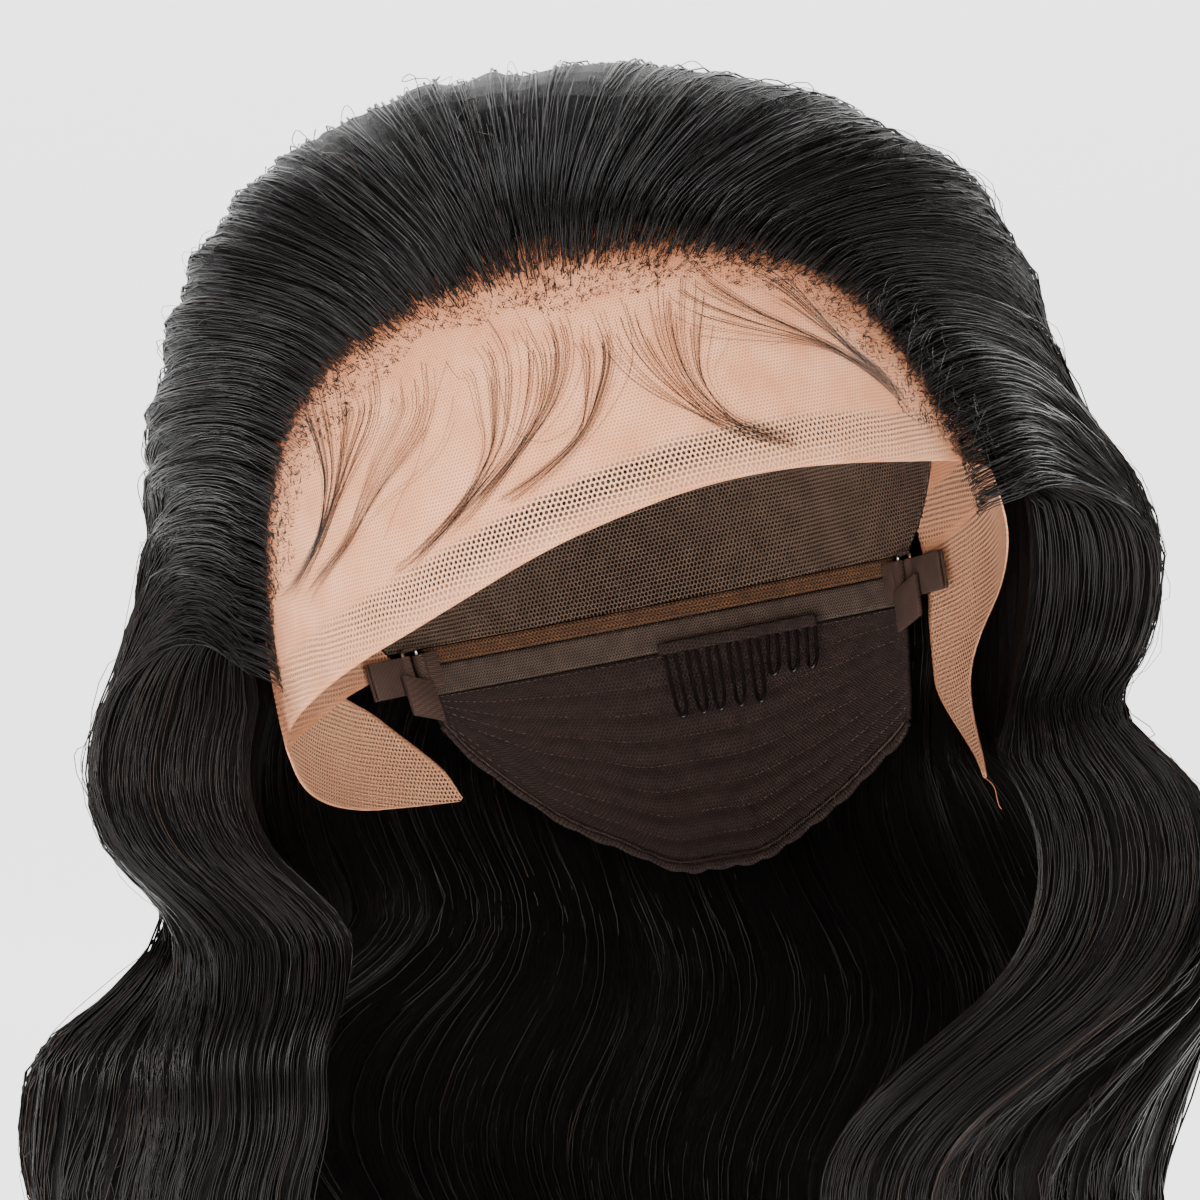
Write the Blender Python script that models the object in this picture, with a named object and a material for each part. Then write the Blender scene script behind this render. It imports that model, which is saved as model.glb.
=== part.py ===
# Lace front wig with body-wave hair, worn tipped to one side, in metres.
# +Z is up and the face opening looks along -Y. The origin is the inner crown of the cap,
# where the top of a head carries it. Azimuths are in degrees from the face (-Y) towards +X.

import bpy
import bmesh
from math import sin, cos, asin, atan2, radians, degrees, pi, sqrt, exp
from mathutils import Matrix, Vector

# The head form that the cap fits, and how it is tipped
HEAD_HALF_WIDTH = 0.0790
HEAD_HALF_LENGTH = 0.0975
CROWN_HEIGHT = 0.1050
NAPE_DEPTH = 0.1120
CAP_ROLL = 13.6

# Cap walls and the gaps between pieces
LACE_WALL = 0.0010
NET_WALL = 0.0010
TAPE_WALL = 0.0012
PANEL_WALL = 0.0012
PIECE_GAP = 0.0003

# Lace: angles on the head form
LACE_TOP_LATITUDE = 62.0
LACE_REAR_AZIMUTH = 126.0
LACE_REAR_LATITUDE = -5.0
LACE_FLARE = 0.0080
LACE_ROWS = 7
LACE_CORNER = (-118.0, -7.5)
TAB_COLUMNS = 5

# Back of the cap
BACK_TOP_LATITUDE = -6.0
BACK_TILT = 1.8
SEAM_BAND_HEIGHT = 0.0040
ELASTIC_BAND_HEIGHT = 0.0072
BAND_END_AZIMUTH = 134.0
HEM_HEIGHT = 0.0026
HEM_SCALLOP = 0.0007
HEM_SCALLOPS = 15
WEFT_ROWS = 8
WEFT_RIDGE = 0.0006
WEFT_FULL_SPAN = 30.0
NET_END_CLEARANCE = 0.0066
NET_COLUMNS = 22
NET_ROWS = 11
BAND_COLUMNS = 20
PANEL_COLUMNS = 18

# Comb
COMB_CENTRE_AZIMUTH = 167.5
COMB_LENGTH = 0.0480
COMB_WIRE = 0.0009
COMB_BAR_HEIGHT = 0.0030
COMB_BAR_THICKNESS = 0.0012
LONG_TOOTH = 0.0190
SHORT_TOOTH = 0.0125
TOOTH_COUNT = 8
LONG_TEETH = 5
TOOTH_HALF_WIDTH = 0.25
TOOTH_LEAN = 3.0

# One tooth of the comb. Sideways in half widths, down in tooth lengths, lean towards the head.
TOOTH_SHAPE = (
    (-1.0, 0.00, 0.00),
    (-1.0, 0.35, 0.25),
    (-1.0, 0.75, 0.55),
    (-0.6, 0.95, 0.90),
    (0.6, 0.95, 0.90),
    (1.0, 0.75, 0.55),
    (1.0, 0.35, 0.25),
    (1.0, 0.00, 0.00),
)

# Size adjusters
STRAP_HEIGHT = 0.0090
STRAP_WALL = 0.0008
STRAP_LENGTH = 0.0160
BAND_TAIL = 0.0060
ROLL_RADIUS = 0.0016
ROLL_MOUTH = 28.0
ROLL_SEGMENTS = 10
RING_WIRE = 0.0010
RING_WIDTH = 0.0052
RING_MARGIN = 0.0013
ADJUSTER_AZIMUTH = 129.5
TAB_SIZE = 0.0098
TAB_WALL = 0.0012
TAB_LAP = 0.0015
TAB_SLOPE = 0.30

# Hair
HAIR_LENGTH = 0.4000
HAIR_CENTRE_X = 0.0196
HAIR_TOP = 0.0107
HAIR_HALF_WIDTH = 0.1200
HAIR_BACK = 0.1300
HAIR_FRONT = 0.0880
HAIR_THICKNESS = 0.0380
HAIR_ROOT = 0.0028
HAIR_LIFT = 0.0550
LOCKS_PER_SIDE = 8
LOCK_OUTER_POINTS = 5
LOCK_GAP = 0.0016
LOCK_ROOT_GAP = 0.00072
LOCK_SQUEEZE = 0.3
ROOT_GAP = 0.0010
ROOT_SEATING = 9.0
LOCK_GROOVE = 0.0050
GROOVE_STATIONS = 5.0
CAP_TO_HAIR = 0.0017
WAVE_LENGTH = 0.0900
WAVE_SWING = 0.0080
WAVE_TURN = 2.6
SHOULDER_DROP = 0.0700
SHOULDER_RISE = 0.0080
SIDE_FALL_AZIMUTH = 91.0
FALL_SPREAD = 0.9
FORWARD_TURN = 50.0
FORWARD_START = 0.1250
FORWARD_RUN = 0.1100
FORWARD_SPREAD = 1.5
SIDE_LIFT = 0.35
CROWN_STATIONS = 9
FALL_STATIONS = 14
TIP_STAGGER = 0.0240
TIP_TURN = 2.4
REACH_FROM = 0.0630
REACH_TO = 0.2160
REACH_STEPS = 24

# Where the lace stands off the head, at the two ears. Azimuth and latitude, then how far
# round and how far up and down the hair makes room for it.
FLARE_PLACES = ((-88.0, -15.0), (90.0, -4.0))
FLARE_ROUND = 26.0
FLARE_UP = 22.0

# Tips of a lock. Station from the end, share of its width kept, share of the stagger.
LOCK_TIP = ((-3, 0.92, 0.0), (-2, 0.74, 0.3), (-1, 0.30, 1.0))

# Free lower edge of the lace. Azimuth, latitude and flare as a share of LACE_FLARE.
LACE_RIM = (
    (-84.0, -12.0, 0.90),
    (-72.0, -9.8, 0.60),
    (-57.0, -7.4, 0.30),
    (-44.0, -5.4, 0.20),
    (-32.0, -3.6, 0.15),
    (-19.0, -1.2, 0.12),
    (-6.0, 1.4, 0.10),
    (7.0, 3.2, 0.10),
    (18.0, 4.1, 0.10),
    (30.5, 4.0, 0.12),
    (43.0, 3.1, 0.15),
    (55.0, 2.0, 0.20),
    (66.0, 1.2, 0.30),
    (76.0, 0.4, 0.45),
    (86.0, -1.0, 0.60),
)

# Ear tabs, root line first and tip last. Latitude and azimuth of the front edge, then of
# the rear edge, then the flare of each as a share of LACE_FLARE.
RIGHT_TAB = (
    (-1.0, 86.0, -7.5, 125.5, 0.60, 0.00),
    (-7.0, 89.0, -11.5, 125.5, 0.70, 0.00),
    (-12.5, 97.0, -16.0, 126.0, 0.50, 0.00),
    (-18.0, 108.0, -20.5, 126.0, 0.25, 0.05),
    (-23.5, 112.5, -25.0, 124.5, 0.15, 0.10),
    (-29.5, 109.5, -30.0, 116.5, 0.25, 0.20),
    (-36.0, 100.0, -36.0, 102.5, 0.50, 0.50),
)
LEFT_TAB = (
    (-12.0, -84.0, -8.5, -110.0, 0.90, 0.00),
    (-16.0, -87.0, -11.0, -116.0, 0.95, -0.05),
    (-19.0, -94.0, -14.0, -120.5, 0.80, -0.10),
    (-21.5, -104.0, -17.0, -124.5, 0.45, -0.15),
    (-23.0, -115.0, -20.5, -128.0, 0.15, -0.20),
    (-24.5, -129.0, -23.8, -131.0, -0.10, -0.20),
)

# Lower edge of the nape panel. Azimuth from the back centre, then latitude on each side.
HEM = (
    (0.0, -41.0, -41.0),
    (10.0, -40.0, -41.2),
    (20.0, -35.0, -38.5),
    (30.0, -29.5, -35.0),
    (38.0, -23.0, -31.5),
    (44.0, -17.5, -29.0),
    (47.0, -14.0, -27.5),
)

# Hairline. Share of the way from its middle to its end, azimuth and latitude.
HAIRLINE = (
    (0.00, 0.0, 37.0),
    (0.12, 13.0, 36.3),
    (0.25, 27.0, 34.6),
    (0.40, 42.0, 31.4),
    (0.54, 55.0, 26.8),
    (0.67, 64.0, 20.0),
    (0.80, 69.5, 11.5),
    (0.90, 72.0, 4.0),
    (1.00, 74.0, -5.0),
)

# Outside of the hair. Height as a share of HAIR_LENGTH, then the half width on the left and
# on the right as shares of HAIR_HALF_WIDTH, the back as a share of HAIR_BACK and the front
# as a share of HAIR_FRONT.
HAIR_OUTLINE = (
    (0.027, 0.02, 0.02, 0.02, 0.02),
    (0.020, 0.22, 0.21, 0.24, 0.24),
    (0.012, 0.33, 0.32, 0.38, 0.36),
    (0.002, 0.45, 0.45, 0.50, 0.47),
    (-0.013, 0.54, 0.55, 0.60, 0.57),
    (-0.039, 0.66, 0.68, 0.72, 0.70),
    (-0.063, 0.73, 0.75, 0.80, 0.78),
    (-0.089, 0.79, 0.81, 0.86, 0.84),
    (-0.129, 0.85, 0.88, 0.93, 0.92),
    (-0.171, 0.91, 0.94, 0.97, 0.97),
    (-0.211, 0.935, 1.02, 1.00, 1.00),
    (-0.245, 0.94, 1.055, 1.00, 1.00),
    (-0.277, 0.93, 1.055, 0.99, 0.98),
    (-0.312, 0.92, 1.02, 0.97, 0.96),
    (-0.340, 0.965, 0.96, 0.95, 0.95),
    (-0.383, 0.985, 1.10, 0.94, 0.93),
    (-0.420, 0.95, 1.17, 0.91, 0.90),
    (-0.465, 0.85, 1.20, 0.88, 0.88),
    (-0.497, 0.93, 1.19, 0.89, 0.90),
    (-0.534, 1.10, 1.14, 0.91, 0.93),
    (-0.577, 1.14, 1.09, 0.92, 0.94),
    (-0.618, 1.12, 1.06, 0.90, 0.92),
    (-0.680, 1.02, 1.12, 0.86, 0.88),
    (-0.760, 1.08, 1.04, 0.84, 0.86),
    (-0.850, 0.98, 1.02, 0.80, 0.82),
    (-0.930, 0.90, 0.92, 0.74, 0.76),
    (-1.010, 0.80, 0.82, 0.66, 0.68),
)

ROLL = Matrix.Rotation(-radians(CAP_ROLL), 3, "Y")
HEAD_CENTRE = ROLL @ Vector((0.0, 0.0, -CROWN_HEIGHT))


def clear_scene():
    for thing in list(bpy.data.objects):
        bpy.data.objects.remove(thing, do_unlink=True)


def material(name, colour, roughness, metallic=0.0):
    made = bpy.data.materials.new(name)
    made.use_nodes = True
    shader = made.node_tree.nodes["Principled BSDF"]
    shader.inputs["Base Color"].default_value = (*colour, 1.0)
    shader.inputs["Roughness"].default_value = roughness
    shader.inputs["Metallic"].default_value = metallic
    return made


def smooth_step(share):
    share = min(1.0, max(0.0, share))
    return share * share * (3.0 - 2.0 * share)


def blend(start, end, share):
    return start + (end - start) * share


def table_value(rows, key, column):
    """Smooth value of one column of a table at a key in its first column."""
    keys = [row[0] for row in rows]
    rising = keys[-1] > keys[0]
    index = 0
    while index < len(rows) - 2 and (key > keys[index + 1]) == rising and key != keys[index + 1]:
        index += 1
    low, high = rows[index], rows[index + 1]
    before = rows[max(0, index - 1)]
    after = rows[min(len(rows) - 1, index + 2)]
    span = high[0] - low[0]
    share = min(1.0, max(0.0, (key - low[0]) / span))
    slope_low = (high[column] - before[column]) / (high[0] - before[0])
    slope_high = (after[column] - low[column]) / (after[0] - low[0])
    square = share * share
    cube = square * share
    return ((2 * cube - 3 * square + 1) * low[column] + (cube - 2 * square + share) * slope_low * span
            + (3 * square - 2 * cube) * high[column] + (cube - square) * slope_high * span)


def bearing(azimuth, latitude):
    """Unit direction on the head form, before it is stretched to the head's size."""
    across = cos(radians(latitude))
    return Vector((sin(radians(azimuth)) * across, -cos(radians(azimuth)) * across, sin(radians(latitude))))


def half_axes(direction, offset):
    tall = CROWN_HEIGHT if direction.z > 0 else NAPE_DEPTH
    return Vector((HEAD_HALF_WIDTH + offset, HEAD_HALF_LENGTH + offset, tall + offset))


def on_form(direction, offset=0.0):
    """Point of the tipped head form in the part's frame."""
    axes = half_axes(direction, offset)
    local = Vector((direction.x * axes.x, direction.y * axes.y, direction.z * axes.z))
    return HEAD_CENTRE + ROLL @ local


def between(start, end, share):
    """Direction part of the way along the arc from start to end."""
    angle = start.angle(end)
    if angle < 1e-6:
        return start.copy()
    return (start * sin((1 - share) * angle) + end * sin(share * angle)) / sin(angle)


def latitude_drop(length):
    """Degrees of latitude that a length takes up near the level of the bands."""
    return degrees(length / NAPE_DEPTH)


def azimuth_turn(length):
    """Degrees of azimuth that a length takes up round the back of the head form."""
    return degrees(length / (0.5 * (HEAD_HALF_WIDTH + HEAD_HALF_LENGTH)))


def new_object(name, mesh, finish):
    made = bpy.data.objects.new(name, mesh)
    bpy.context.scene.collection.objects.link(made)
    mesh.materials.append(finish)
    return made


def sheet_from_rows(rows, bm=None):
    """Faces between rows of points, each row as long as the next."""
    if bm is None:
        bm = bmesh.new()
    grid = [[bm.verts.new(point) for point in row] for row in rows]
    for lower, upper in zip(grid, grid[1:]):
        for column in range(len(lower) - 1):
            bm.faces.new((lower[column], lower[column + 1], upper[column + 1], upper[column]))
    return bm


def wall(name, bm, thickness, finish, smooth=True):
    """Cloth wall: the sheet is its inner face and the thickness goes outwards."""
    bmesh.ops.remove_doubles(bm, verts=bm.verts, dist=0.00002)
    bmesh.ops.recalc_face_normals(bm, faces=bm.faces)
    bm.faces.ensure_lookup_table()
    outward = sum(face.normal.dot(face.calc_center_median() - HEAD_CENTRE) for face in bm.faces)
    if outward < 0:
        bmesh.ops.reverse_faces(bm, faces=bm.faces)
    mesh = bpy.data.meshes.new(name)
    bm.to_mesh(mesh)
    bm.free()
    if smooth:
        mesh.shade_smooth()
    made = new_object(name, mesh, finish)
    solidify = made.modifiers.new("thickness", "SOLIDIFY")
    solidify.thickness = thickness
    solidify.offset = 1.0
    solidify.use_even_offset = False
    return made


def lace_rear(share, setback=0.0):
    """Rear edge of the lace, over the head from one ear to the other, share 0 to 1."""
    side = bearing(LACE_REAR_AZIMUTH, LACE_REAR_LATITUDE)
    top = bearing(0.0, LACE_TOP_LATITUDE)
    plane = Vector((0.0, top.z - side.z, side.y - top.y)).normalized()
    level = plane.dot(top) + setback
    radius = sqrt(1.0 - level * level)
    reach = pi - asin(min(1.0, side.x / radius))
    turn = blend(-reach, reach, share)
    rise = Vector((0.0, -plane.z, plane.y))
    return plane * level + rise * (radius * cos(turn)) + Vector((radius * sin(turn), 0.0, 0.0))


def lace_lower_edge():
    """Lower edge of the lace without its tabs, left to right, as directions and flares."""
    edge = [(bearing(-LACE_REAR_AZIMUTH + 1.0, LACE_REAR_LATITUDE - 1.5), 0.0)]
    edge.append((bearing(*LACE_CORNER), 0.0))
    edge += tab_root(LEFT_TAB, reverse=True)
    edge += [(bearing(azimuth, latitude), flare) for azimuth, latitude, flare in LACE_RIM[1:-1]]
    edge += tab_root(RIGHT_TAB, reverse=False)
    return edge


def tab_row(row, share):
    front_latitude, front_azimuth, rear_latitude, rear_azimuth, front_flare, rear_flare = row
    direction = between(bearing(front_azimuth, front_latitude), bearing(rear_azimuth, rear_latitude), share)
    return direction, blend(front_flare, rear_flare, share)


def tab_root(table, reverse):
    points = [tab_row(table[0], column / (TAB_COLUMNS - 1)) for column in range(TAB_COLUMNS)]
    return points[::-1] if reverse else points


def flared(direction, flare):
    return on_form(direction, flare * LACE_FLARE)


def lace_front(finish):
    lower = lace_lower_edge()
    rows = []
    for step in range(LACE_ROWS):
        share = step / (LACE_ROWS - 1)
        row = []
        for column, (direction, flare) in enumerate(lower):
            rear = lace_rear(column / (len(lower) - 1))
            fade = (1.0 - share) ** 2
            row.append(flared(between(direction, rear, share), flare * fade))
        rows.append(row)
    bm = sheet_from_rows(rows)
    for table in (LEFT_TAB, RIGHT_TAB):
        tab_rows = []
        for row in table:
            tab_rows.append([flared(*tab_row(row, column / (TAB_COLUMNS - 1))) for column in range(TAB_COLUMNS)])
        sheet_from_rows(tab_rows, bm)
    return wall("lace_front", bm, LACE_WALL, finish)


def back_latitude(azimuth):
    """Upper edge of the seam band, a little lower on one side than on the other."""
    return BACK_TOP_LATITUDE - BACK_TILT * sin(radians(azimuth))


def back_strip_rows(top_drop, bottom_drop):
    """Rows between two drops below the seam band's upper edge, left to right by the back."""
    rows = []
    for drop in (bottom_drop, top_drop):
        row = []
        for column in range(BAND_COLUMNS + 1):
            azimuth = blend(-BAND_END_AZIMUTH, BAND_END_AZIMUTH - 360.0, column / BAND_COLUMNS)
            row.append(on_form(bearing(azimuth, back_latitude(azimuth) - latitude_drop(drop))))
        rows.append(row)
    return rows


def crown_net(finish):
    gap = 2 * PIECE_GAP / HEAD_HALF_WIDTH
    end_azimuth = LACE_REAR_AZIMUTH + azimuth_turn(NET_END_CLEARANCE)
    rows = []
    for step in range(NET_ROWS + 1):
        row = []
        for column in range(NET_COLUMNS + 1):
            share = column / NET_COLUMNS
            azimuth = blend(-end_azimuth, end_azimuth - 360.0, share)
            low = bearing(azimuth, back_latitude(azimuth) + latitude_drop(PIECE_GAP))
            high = lace_rear(share, setback=gap)
            row.append(on_form(between(low, high, step / NET_ROWS)))
        rows.append(row)
    return wall("crown_net", sheet_from_rows(rows), NET_WALL, finish)


def seam_band(finish):
    rows = back_strip_rows(0.0, SEAM_BAND_HEIGHT)
    return wall("seam_band", sheet_from_rows(rows), TAPE_WALL, finish)


def elastic_top():
    return SEAM_BAND_HEIGHT + PIECE_GAP


def elastic_bottom():
    return elastic_top() + ELASTIC_BAND_HEIGHT


def elastic_band(finish):
    rows = back_strip_rows(elastic_top(), elastic_bottom())
    return wall("elastic_band", sheet_from_rows(rows), TAPE_WALL, finish)


def hem_latitude(azimuth):
    """Latitude of the nape panel's lower edge at an azimuth measured past the back."""
    from_back = azimuth + 180.0
    column = 1 if from_back > 0 else 2
    return table_value(HEM, min(abs(from_back), HEM[-1][0]), column)


def panel_azimuth(share):
    reach = HEM[-1][0]
    return blend(-180.0 + reach, -180.0 - reach, share)


def weft_panel(finish):
    steps = 2 * WEFT_ROWS
    rows = []
    for step in range(steps + 1):
        row = []
        for column in range(PANEL_COLUMNS + 1):
            azimuth = panel_azimuth(column / PANEL_COLUMNS)
            top = back_latitude(azimuth) - latitude_drop(elastic_bottom() + PIECE_GAP)
            low = hem_latitude(azimuth)
            ridge = WEFT_RIDGE * min(1.0, (top - low) / WEFT_FULL_SPAN) ** 2 if step % 2 else 0.0
            row.append(on_form(bearing(azimuth, blend(low, top, step / steps)), -ridge))
        rows.append(row)
    return wall("weft_panel", sheet_from_rows(rows), PANEL_WALL, finish, smooth=False)


def hem_binding(finish):
    columns = 3 * HEM_SCALLOPS
    upper, lower = [], []
    for column in range(columns + 1):
        azimuth = panel_azimuth(column / columns)
        latitude = hem_latitude(azimuth) - latitude_drop(2 * PIECE_GAP)
        depth = HEM_HEIGHT + HEM_SCALLOP * abs(sin(pi * column * HEM_SCALLOPS / columns))
        upper.append(on_form(bearing(azimuth, latitude)))
        lower.append(on_form(bearing(azimuth, latitude - latitude_drop(depth))))
    return wall("hem_binding", sheet_from_rows([lower, upper]), TAPE_WALL, finish)


def local_frame(azimuth, latitude, offset):
    """Point on the form with its directions sideways, down along the form and outwards."""
    here = on_form(bearing(azimuth, latitude), offset)
    side = (on_form(bearing(azimuth + 0.5, latitude), offset) - here).normalized()
    down = (on_form(bearing(azimuth, latitude - 0.5), offset) - here).normalized()
    return here, side, down, down.cross(side).normalized()


def closed_prism(name, outline, along, finish):
    """Solid swept from a closed outline of points by the vector along."""
    bm = bmesh.new()
    base = bm.faces.new([bm.verts.new(point) for point in outline])
    swept = bmesh.ops.extrude_face_region(bm, geom=[base])
    moved = [item for item in swept["geom"] if isinstance(item, bmesh.types.BMVert)]
    bmesh.ops.translate(bm, vec=along, verts=moved)
    bmesh.ops.recalc_face_normals(bm, faces=bm.faces)
    mesh = bpy.data.meshes.new(name)
    bm.to_mesh(mesh)
    bm.free()
    return new_object(name, mesh, finish)


def wire(name, points, thickness, finish, closed=False):
    curve = bpy.data.curves.new(name, "CURVE")
    curve.dimensions = "3D"
    curve.bevel_depth = thickness / 2
    curve.bevel_resolution = 1
    curve.use_fill_caps = not closed
    spline = curve.splines.new("POLY")
    spline.points.add(len(points) - 1)
    for item, point in zip(spline.points, points):
        item.co = (*point, 1.0)
    spline.use_cyclic_u = closed
    return new_object(name, curve, finish)


def comb_latitude(azimuth, drop):
    return back_latitude(azimuth) - latitude_drop(elastic_bottom() + drop)


def comb(finish):
    """Spine sewn inside the elastic band's lower edge, and one wire bent into teeth."""
    pitch = azimuth_turn(COMB_LENGTH / TOOTH_COUNT)
    first = COMB_CENTRE_AZIMUTH + pitch * TOOTH_COUNT / 2
    inset = -(COMB_WIRE / 2 + PIECE_GAP + WEFT_RIDGE)
    points = []
    for tooth in range(TOOTH_COUNT):
        reach = LONG_TOOTH if tooth < LONG_TEETH else SHORT_TOOTH
        left = first - pitch * tooth
        centre = left - pitch * 0.5
        half = pitch * TOOTH_HALF_WIDTH
        for sideways, share, lean in TOOTH_SHAPE:
            direction = bearing(centre - half * sideways, comb_latitude(centre, reach * share))
            points.append(on_form(direction, inset - lean * TOOTH_LEAN * COMB_WIRE))
    wire("comb_wire", points, COMB_WIRE, finish)
    spine = [first - pitch * step for step in range(TOOTH_COUNT + 1)]
    depth = inset - COMB_WIRE / 2 - PIECE_GAP - COMB_BAR_THICKNESS
    rows = []
    for drop in (COMB_BAR_HEIGHT / 2, -COMB_BAR_HEIGHT / 2):
        rows.append([on_form(bearing(azimuth, comb_latitude(azimuth, drop)), depth) for azimuth in spine])
    wall("comb_bar", sheet_from_rows(rows), COMB_BAR_THICKNESS, finish)


def strap_top():
    """Drop from the seam band's upper edge to the straps, which are centred on the bands."""
    return (elastic_bottom() - STRAP_HEIGHT) / 2


def folded_end(name, side, towards_face, tail, finish):
    """Strap end folded round a ring bar and laid back on itself, seen from its edge."""
    turn = side * (1 if towards_face else -1)
    shift = azimuth_turn(RING_WIDTH / 2)
    azimuth = side * (ADJUSTER_AZIMUTH - (shift if towards_face else -shift))
    latitude = back_latitude(azimuth) - latitude_drop(strap_top())
    here, sideways, down, outwards = local_frame(azimuth, latitude, -ROLL_RADIUS)
    away = sideways * (-turn)
    bend = tail / (HEAD_HALF_WIDTH + HEAD_HALF_LENGTH)
    outer, inner = [], []
    for step in range(ROLL_SEGMENTS + 1):
        angle = blend(radians(ROLL_MOUTH), 2 * pi - radians(ROLL_MOUTH), step / ROLL_SEGMENTS)
        for ring, radius in ((outer, ROLL_RADIUS), (inner, ROLL_RADIUS - STRAP_WALL)):
            ring.append(here + away * (cos(angle) * radius) + outwards * (sin(angle) * radius))
    lift = PIECE_GAP / 2
    tail_end = here + away * tail - outwards * (bend * tail)
    reach = here + away * (ROLL_RADIUS + STRAP_WALL)
    outline = list(outer)
    outline += [reach - outwards * (lift + STRAP_WALL), tail_end - outwards * (lift + STRAP_WALL)]
    outline += [tail_end - outwards * lift, reach - outwards * lift]
    outline += inner[::-1]
    outline += [reach + outwards * lift, tail_end + outwards * lift]
    outline += [tail_end + outwards * (lift + STRAP_WALL), reach + outwards * (lift + STRAP_WALL)]
    return closed_prism(name, outline, down * STRAP_HEIGHT, finish)


def ring_bar(name, side, finish):
    azimuth = side * ADJUSTER_AZIMUTH
    latitude = back_latitude(azimuth) - latitude_drop(strap_top() + STRAP_HEIGHT / 2)
    here, sideways, down, outwards = local_frame(azimuth, latitude, -ROLL_RADIUS)
    half_width = RING_WIDTH / 2
    half_height = STRAP_HEIGHT / 2 + RING_MARGIN
    corner = RING_WIRE
    points = []
    for across, along, start in ((1, 1, 0.0), (-1, 1, 90.0), (-1, -1, 180.0), (1, -1, 270.0)):
        for step in range(3):
            angle = radians(start + 45.0 * step)
            x = across * (half_width - corner) + corner * cos(angle)
            y = along * (half_height - corner) + corner * sin(angle)
            points.append(here + sideways * x + down * y)
    return wire(name, points, RING_WIRE, finish, closed=True)


def strap_tab(name, side, finish):
    """Short loose end of the strap, hanging under the ring with its edge turned over."""
    azimuth = side * (ADJUSTER_AZIMUTH + azimuth_turn(RING_WIDTH / 2))
    latitude = back_latitude(azimuth) - latitude_drop(strap_top() + STRAP_HEIGHT - TAB_LAP)
    depth = 2 * ROLL_RADIUS + PIECE_GAP + TAB_WALL
    here, sideways, down, outwards = local_frame(azimuth, latitude, -depth)
    away = sideways * side * -1.0
    far = here + away * TAB_SIZE - down * (TAB_SIZE * TAB_SLOPE)
    outline = [here, far, far + down * TAB_SIZE, here + down * TAB_SIZE]
    return closed_prism(name, outline, outwards * TAB_WALL, finish)


def hair_limit(height, column):
    share = height / HAIR_LENGTH
    return table_value(HAIR_OUTLINE, share, column)


def hair_ellipse(height, right_side, back_side):
    """Half width and depth of the hair's outside at a height."""
    across = HAIR_HALF_WIDTH * hair_limit(height, 2 if right_side else 1)
    if back_side:
        return across, HAIR_BACK * hair_limit(height, 3)
    return across, HAIR_FRONT * hair_limit(height, 4)


def inside_hair(point):
    across, depth = hair_ellipse(point.z, point.x > HAIR_CENTRE_X, point.y > 0)
    return ((point.x - HAIR_CENTRE_X) / across) ** 2 + (point.y / depth) ** 2 < 1.0


def hair_reach(direction):
    """Distance from the head's centre to the outside of the hair."""
    near, far = REACH_FROM, REACH_TO
    for _ in range(REACH_STEPS):
        middle = (near + far) / 2
        point = HEAD_CENTRE + direction * middle
        if point.z < HAIR_TOP and inside_hair(point):
            near = middle
        else:
            far = middle
    return near


def form_direction(point):
    """Direction on the head form, before its stretch, of a point in the part's frame."""
    local = ROLL.transposed() @ (point - HEAD_CENTRE)
    tall = CROWN_HEIGHT if local.z > 0 else NAPE_DEPTH
    return Vector((local.x / HEAD_HALF_WIDTH, local.y / HEAD_HALF_LENGTH, local.z / tall)).normalized()


def cap_offset(direction):
    """Room that the cap takes outside the head form, with its flared left corner."""
    azimuth = degrees(atan2(direction.x, -direction.y))
    latitude = degrees(asin(max(-1.0, min(1.0, direction.z))))
    flare = 0.0
    for corner, low in FLARE_PLACES:
        flare = max(flare, exp(-((azimuth - corner) / FLARE_ROUND) ** 2 - ((latitude - low) / FLARE_UP) ** 2))
    return TAPE_WALL + CAP_TO_HAIR + LACE_FLARE * flare


def root_direction(share):
    side = 1 if share > 0 else -1
    azimuth = side * table_value(HAIRLINE, abs(share), 1)
    return bearing(azimuth, table_value(HAIRLINE, abs(share), 2))


def fall_azimuth(share, height):
    """Azimuth at which the hair of a root hangs, which comes forward below the neck."""
    side = 1 if share > 0 else -1
    base = 180.0 - (180.0 - SIDE_FALL_AZIMUTH) * abs(share) ** FALL_SPREAD
    forward = FORWARD_TURN * abs(share) ** FORWARD_SPREAD * smooth_step((-height - FORWARD_START) / FORWARD_RUN)
    depth_wave = WAVE_SWING / HAIR_HALF_WIDTH * smooth_step((-height - SHOULDER_DROP) / WAVE_LENGTH)
    wave = degrees(depth_wave) * sin(2 * pi * height / WAVE_LENGTH + WAVE_TURN * share)
    return side * (base - forward) + wave


def shoulder_height(share):
    root = on_form(root_direction(share)).z
    return blend(-SHOULDER_DROP, root + SHOULDER_RISE, share ** 2)


def fall_point(share, height):
    azimuth = radians(fall_azimuth(share, height))
    across, depth = hair_ellipse(height, sin(azimuth) > 0, cos(azimuth) < 0)
    return Vector((HAIR_CENTRE_X + across * sin(azimuth), -depth * cos(azimuth), height))


def form_exit(origin, direction, offset):
    """Distance along a level ray to where it leaves the head form, or 0 if it misses."""
    best = 0.0
    for tall in (CROWN_HEIGHT, NAPE_DEPTH):
        axes = (HEAD_HALF_WIDTH + offset, HEAD_HALF_LENGTH + offset, tall + offset)
        start = ROLL.transposed() @ (origin - HEAD_CENTRE)
        way = ROLL.transposed() @ direction
        start = Vector((start.x / axes[0], start.y / axes[1], start.z / axes[2]))
        way = Vector((way.x / axes[0], way.y / axes[1], way.z / axes[2]))
        half = start.dot(way)
        rest = half * half - way.dot(way) * (start.dot(start) - 1.0)
        if rest > 0:
            distance = (-half + sqrt(rest)) / way.dot(way)
            if (start.z + way.z * distance > 0) == (tall == CROWN_HEIGHT):
                best = max(best, distance)
    return best


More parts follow.
